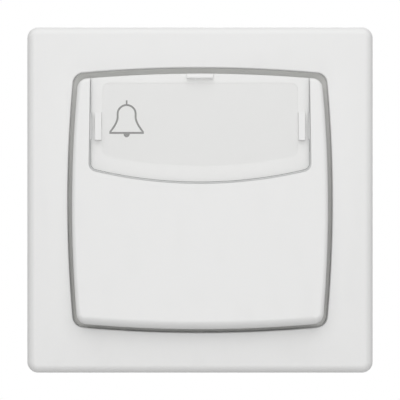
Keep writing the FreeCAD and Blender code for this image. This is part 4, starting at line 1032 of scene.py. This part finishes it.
class BuildScrews(bpy.types.Operator):
    """Builds the cover screws, the terminal screws and the claw screws with their threads"""

    bl_idname = "doorbell.screws"
    bl_label = "Screws"

    def execute(self, context):
        steel = plated_steel("screw steel", context.scene.doorbell_colours.steel)
        inward = Matrix.Rotation(-QUARTER, 4, "X")
        downward = Matrix.Rotation(math.pi, 4, "X")
        x, y, z = COVER_SCREW_PLACE
        corners = [(side * x, y, end * z) for side in (-1, 1) for end in (-1, 1)]
        places = [Matrix.Translation(corner) @ inward for corner in corners]
        cover = screw_piece("cover_screws_threaded", places, COVER_SCREW)
        finish_piece(cover, "wall_unit", steel, "screw_steel", "cover_screws")
        x, y, z = CLAW_SCREW_PLACE
        places = [Matrix.Translation((side * x, y, z)) @ inward for side in (-1, 1)]
        claw = screw_piece("claw_screws_threaded", places, CLAW_SCREW)
        finish_piece(claw, "wall_unit", steel, "screw_steel", "claw_screws")
        x, y, z = TERMINAL_SCREW_PLACE
        places = [Matrix.Translation((side * x, y, z)) @ downward for side in (-1, 1)]
        terminal = screw_piece("terminal_screws_threaded", places, TERMINAL_SCREW)
        finish_piece(terminal, "wall_unit", steel, "screw_steel", "terminal_screws")
        return {"FINISHED"}


# Finishes of the mechanism; the streaks of rolled steel are stretched along one axis

CLAW_DARKER = 0.92
CLAMP_PLATING = (0.62, 0.6, 0.55)
ROLLED_ACROSS = (0.12, 1.0, 1.0)
ROLLED_DEEP = (1.0, 0.2, 1.0)
ROLLED_UP = (1.0, 1.0, 0.15)


class FinishMechanism(bpy.types.Operator):
    """Gives the mechanism's own parts their finishes"""

    bl_idname = "doorbell.mechanism"
    bl_label = "Mechanism finishes"

    def execute(self, context):
        colours = context.scene.doorbell_colours
        claw_steel = scaled(colours.steel, CLAW_DARKER)
        finishes = (
            (moulded_plastic("bearing frame grey", colours.grey, 0.5, 4200.0), ("bearing_frame",)),
            (
                moulded_plastic("housing grey", colours.housing, 0.42, 3600.0, 0.06),
                ("mechanism_base", "mechanism_cover"),
            ),
            (moulded_plastic("inner plastic", colours.pale, 0.4, 4600.0), ("yoke", "plunger")),
            (plated_steel("ring steel", colours.steel, ROLLED_ACROSS), ("support_ring",)),
            (
                plated_steel("claw steel", claw_steel, ROLLED_UP),
                ("claw_left", "claw_right", "claw_nut_left", "claw_nut_right"),
            ),
            (
                stamped_brass("contact brass", colours.brass),
                ("fixed_contact_left", "fixed_contact_right", "contact_bridge"),
            ),
            (
                plated_steel("clamp plating", CLAMP_PLATING, ROLLED_DEEP),
                ("terminal_clamp_left", "terminal_clamp_right"),
            ),
        )
        for material, names in finishes:
            for name in names:
                slots = frame["nodes"][name].data.materials
                slots.clear()
                slots.append(material)
        return {"FINISHED"}


# Floor, lights and camera

FLOOR_RADIUS = 6.0
FLOOR_PLACE = (0.0, 0.0, -0.27)
FLOOR_SHADE = (0.62, 0.62, 0.62)
CAMERA_NEAR = 0.01
LIGHT_TARGET = Vector((0.0, -0.01, 0.0))

# Each light's name, place and size, and the stage value that holds its power
LIGHTS = (
    ("upper light", Vector((0.0, -0.26, 0.28)), 0.5, "key_power"),
    ("front light", Vector((0.0, -0.9, -0.08)), 0.36, "fill_power"),
    ("rear light", Vector((0.0, 0.75, 0.36)), 0.6, "rear_power"),
)


def area_light(name, place, size, watts):
    """A square soft light aimed at the object."""
    data = bpy.data.lights.new(name, "AREA")
    data.shape = "SQUARE"
    data.size = size
    data.energy = watts
    lamp = bpy.data.objects.new(name, data)
    bpy.context.scene.collection.objects.link(lamp)
    lamp.location = place
    lamp.rotation_mode = "QUATERNION"
    lamp.rotation_quaternion = (LIGHT_TARGET - place).to_track_quat("-Z", "Y")


def white_world(strength):
    """Even light, seen as white by the camera and in reflections."""
    recipe = Recipe(bpy.data.worlds.new("studio"))
    even = recipe.add("ShaderNodeBackground", None, {"Color": WHITE, "Strength": strength})
    seen = recipe.add("ShaderNodeBackground", None, {"Color": WHITE, "Strength": 1.0})
    shown = {0: recipe.background_rays(), 1: even, 2: seen}
    mixed = recipe.add("ShaderNodeMixShader", None, shown)
    bpy.context.scene.world = recipe.surface(mixed, "ShaderNodeOutputWorld")


class BuildStage(bpy.types.Operator):
    """Builds the floor, the studio light and the camera"""

    bl_idname = "doorbell.stage"
    bl_label = "Stage"

    def execute(self, context):
        stage = context.scene.doorbell_stage
        mesh = bmesh.new()
        bmesh.ops.create_circle(mesh, cap_ends=True, radius=FLOOR_RADIUS, segments=64)
        floor = piece_from(mesh, "studio_floor")
        floor.location = FLOOR_PLACE
        floor.data.materials.append(stage_surface("pale floor", FLOOR_SHADE))
        white_world(stage.sky)
        for name, place, size, held in LIGHTS:
            area_light(name, place, size, getattr(stage, held))
        data = bpy.data.cameras.new("camera")
        camera = bpy.data.objects.new("camera", data)
        context.scene.collection.objects.link(camera)
        camera.location = (0.0, FRONT_LOW.y - stage.distance, 0.0)
        camera.rotation_euler = (QUARTER, 0.0, 0.0)
        data.lens = data.sensor_width * stage.distance / stage.view_width
        data.clip_start = CAMERA_NEAR
        context.scene.camera = camera
        context.scene.view_settings.view_transform = "Standard"
        return {"FINISHED"}


class DoorbellPanel(bpy.types.Panel):
    """Sizes, colours and steps of the doorbell push button"""

    bl_idname = "VIEW3D_PT_doorbell"
    bl_label = "Doorbell push button"
    bl_space_type = "VIEW_3D"
    bl_region_type = "UI"
    bl_category = "Doorbell"

    def draw(self, context):
        scene = context.scene
        for group in (scene.doorbell_sizes, scene.doorbell_colours, scene.doorbell_stage):
            column = self.layout.column(align=True)
            for name in group.__annotations__:
                column.prop(group, name)
        for operator in OPERATORS:
            self.layout.operator(operator.bl_idname)


OPERATORS = (
    BuildCoverFrame, BuildRocker, BuildLabelWindow, BuildLabelCard, BuildReturnSpring, BuildScrews,
    FinishMechanism, BuildStage,
)
CLASSES = (DoorbellSizes, DoorbellColours, DoorbellStage, *OPERATORS, DoorbellPanel)


def register():
    for item in CLASSES:
        bpy.utils.register_class(item)
    bpy.types.Scene.doorbell_sizes = PointerProperty(type=DoorbellSizes)
    bpy.types.Scene.doorbell_colours = PointerProperty(type=DoorbellColours)
    bpy.types.Scene.doorbell_stage = PointerProperty(type=DoorbellStage)


def unregister():
    del bpy.types.Scene.doorbell_stage
    del bpy.types.Scene.doorbell_colours
    del bpy.types.Scene.doorbell_sizes
    for item in reversed(CLASSES):
        bpy.utils.unregister_class(item)


def main():
    register()
    for operator in OPERATORS:
        group, name = operator.bl_idname.split(".")
        getattr(getattr(bpy.ops, group), name)()


if __name__ == "__main__":
    main()
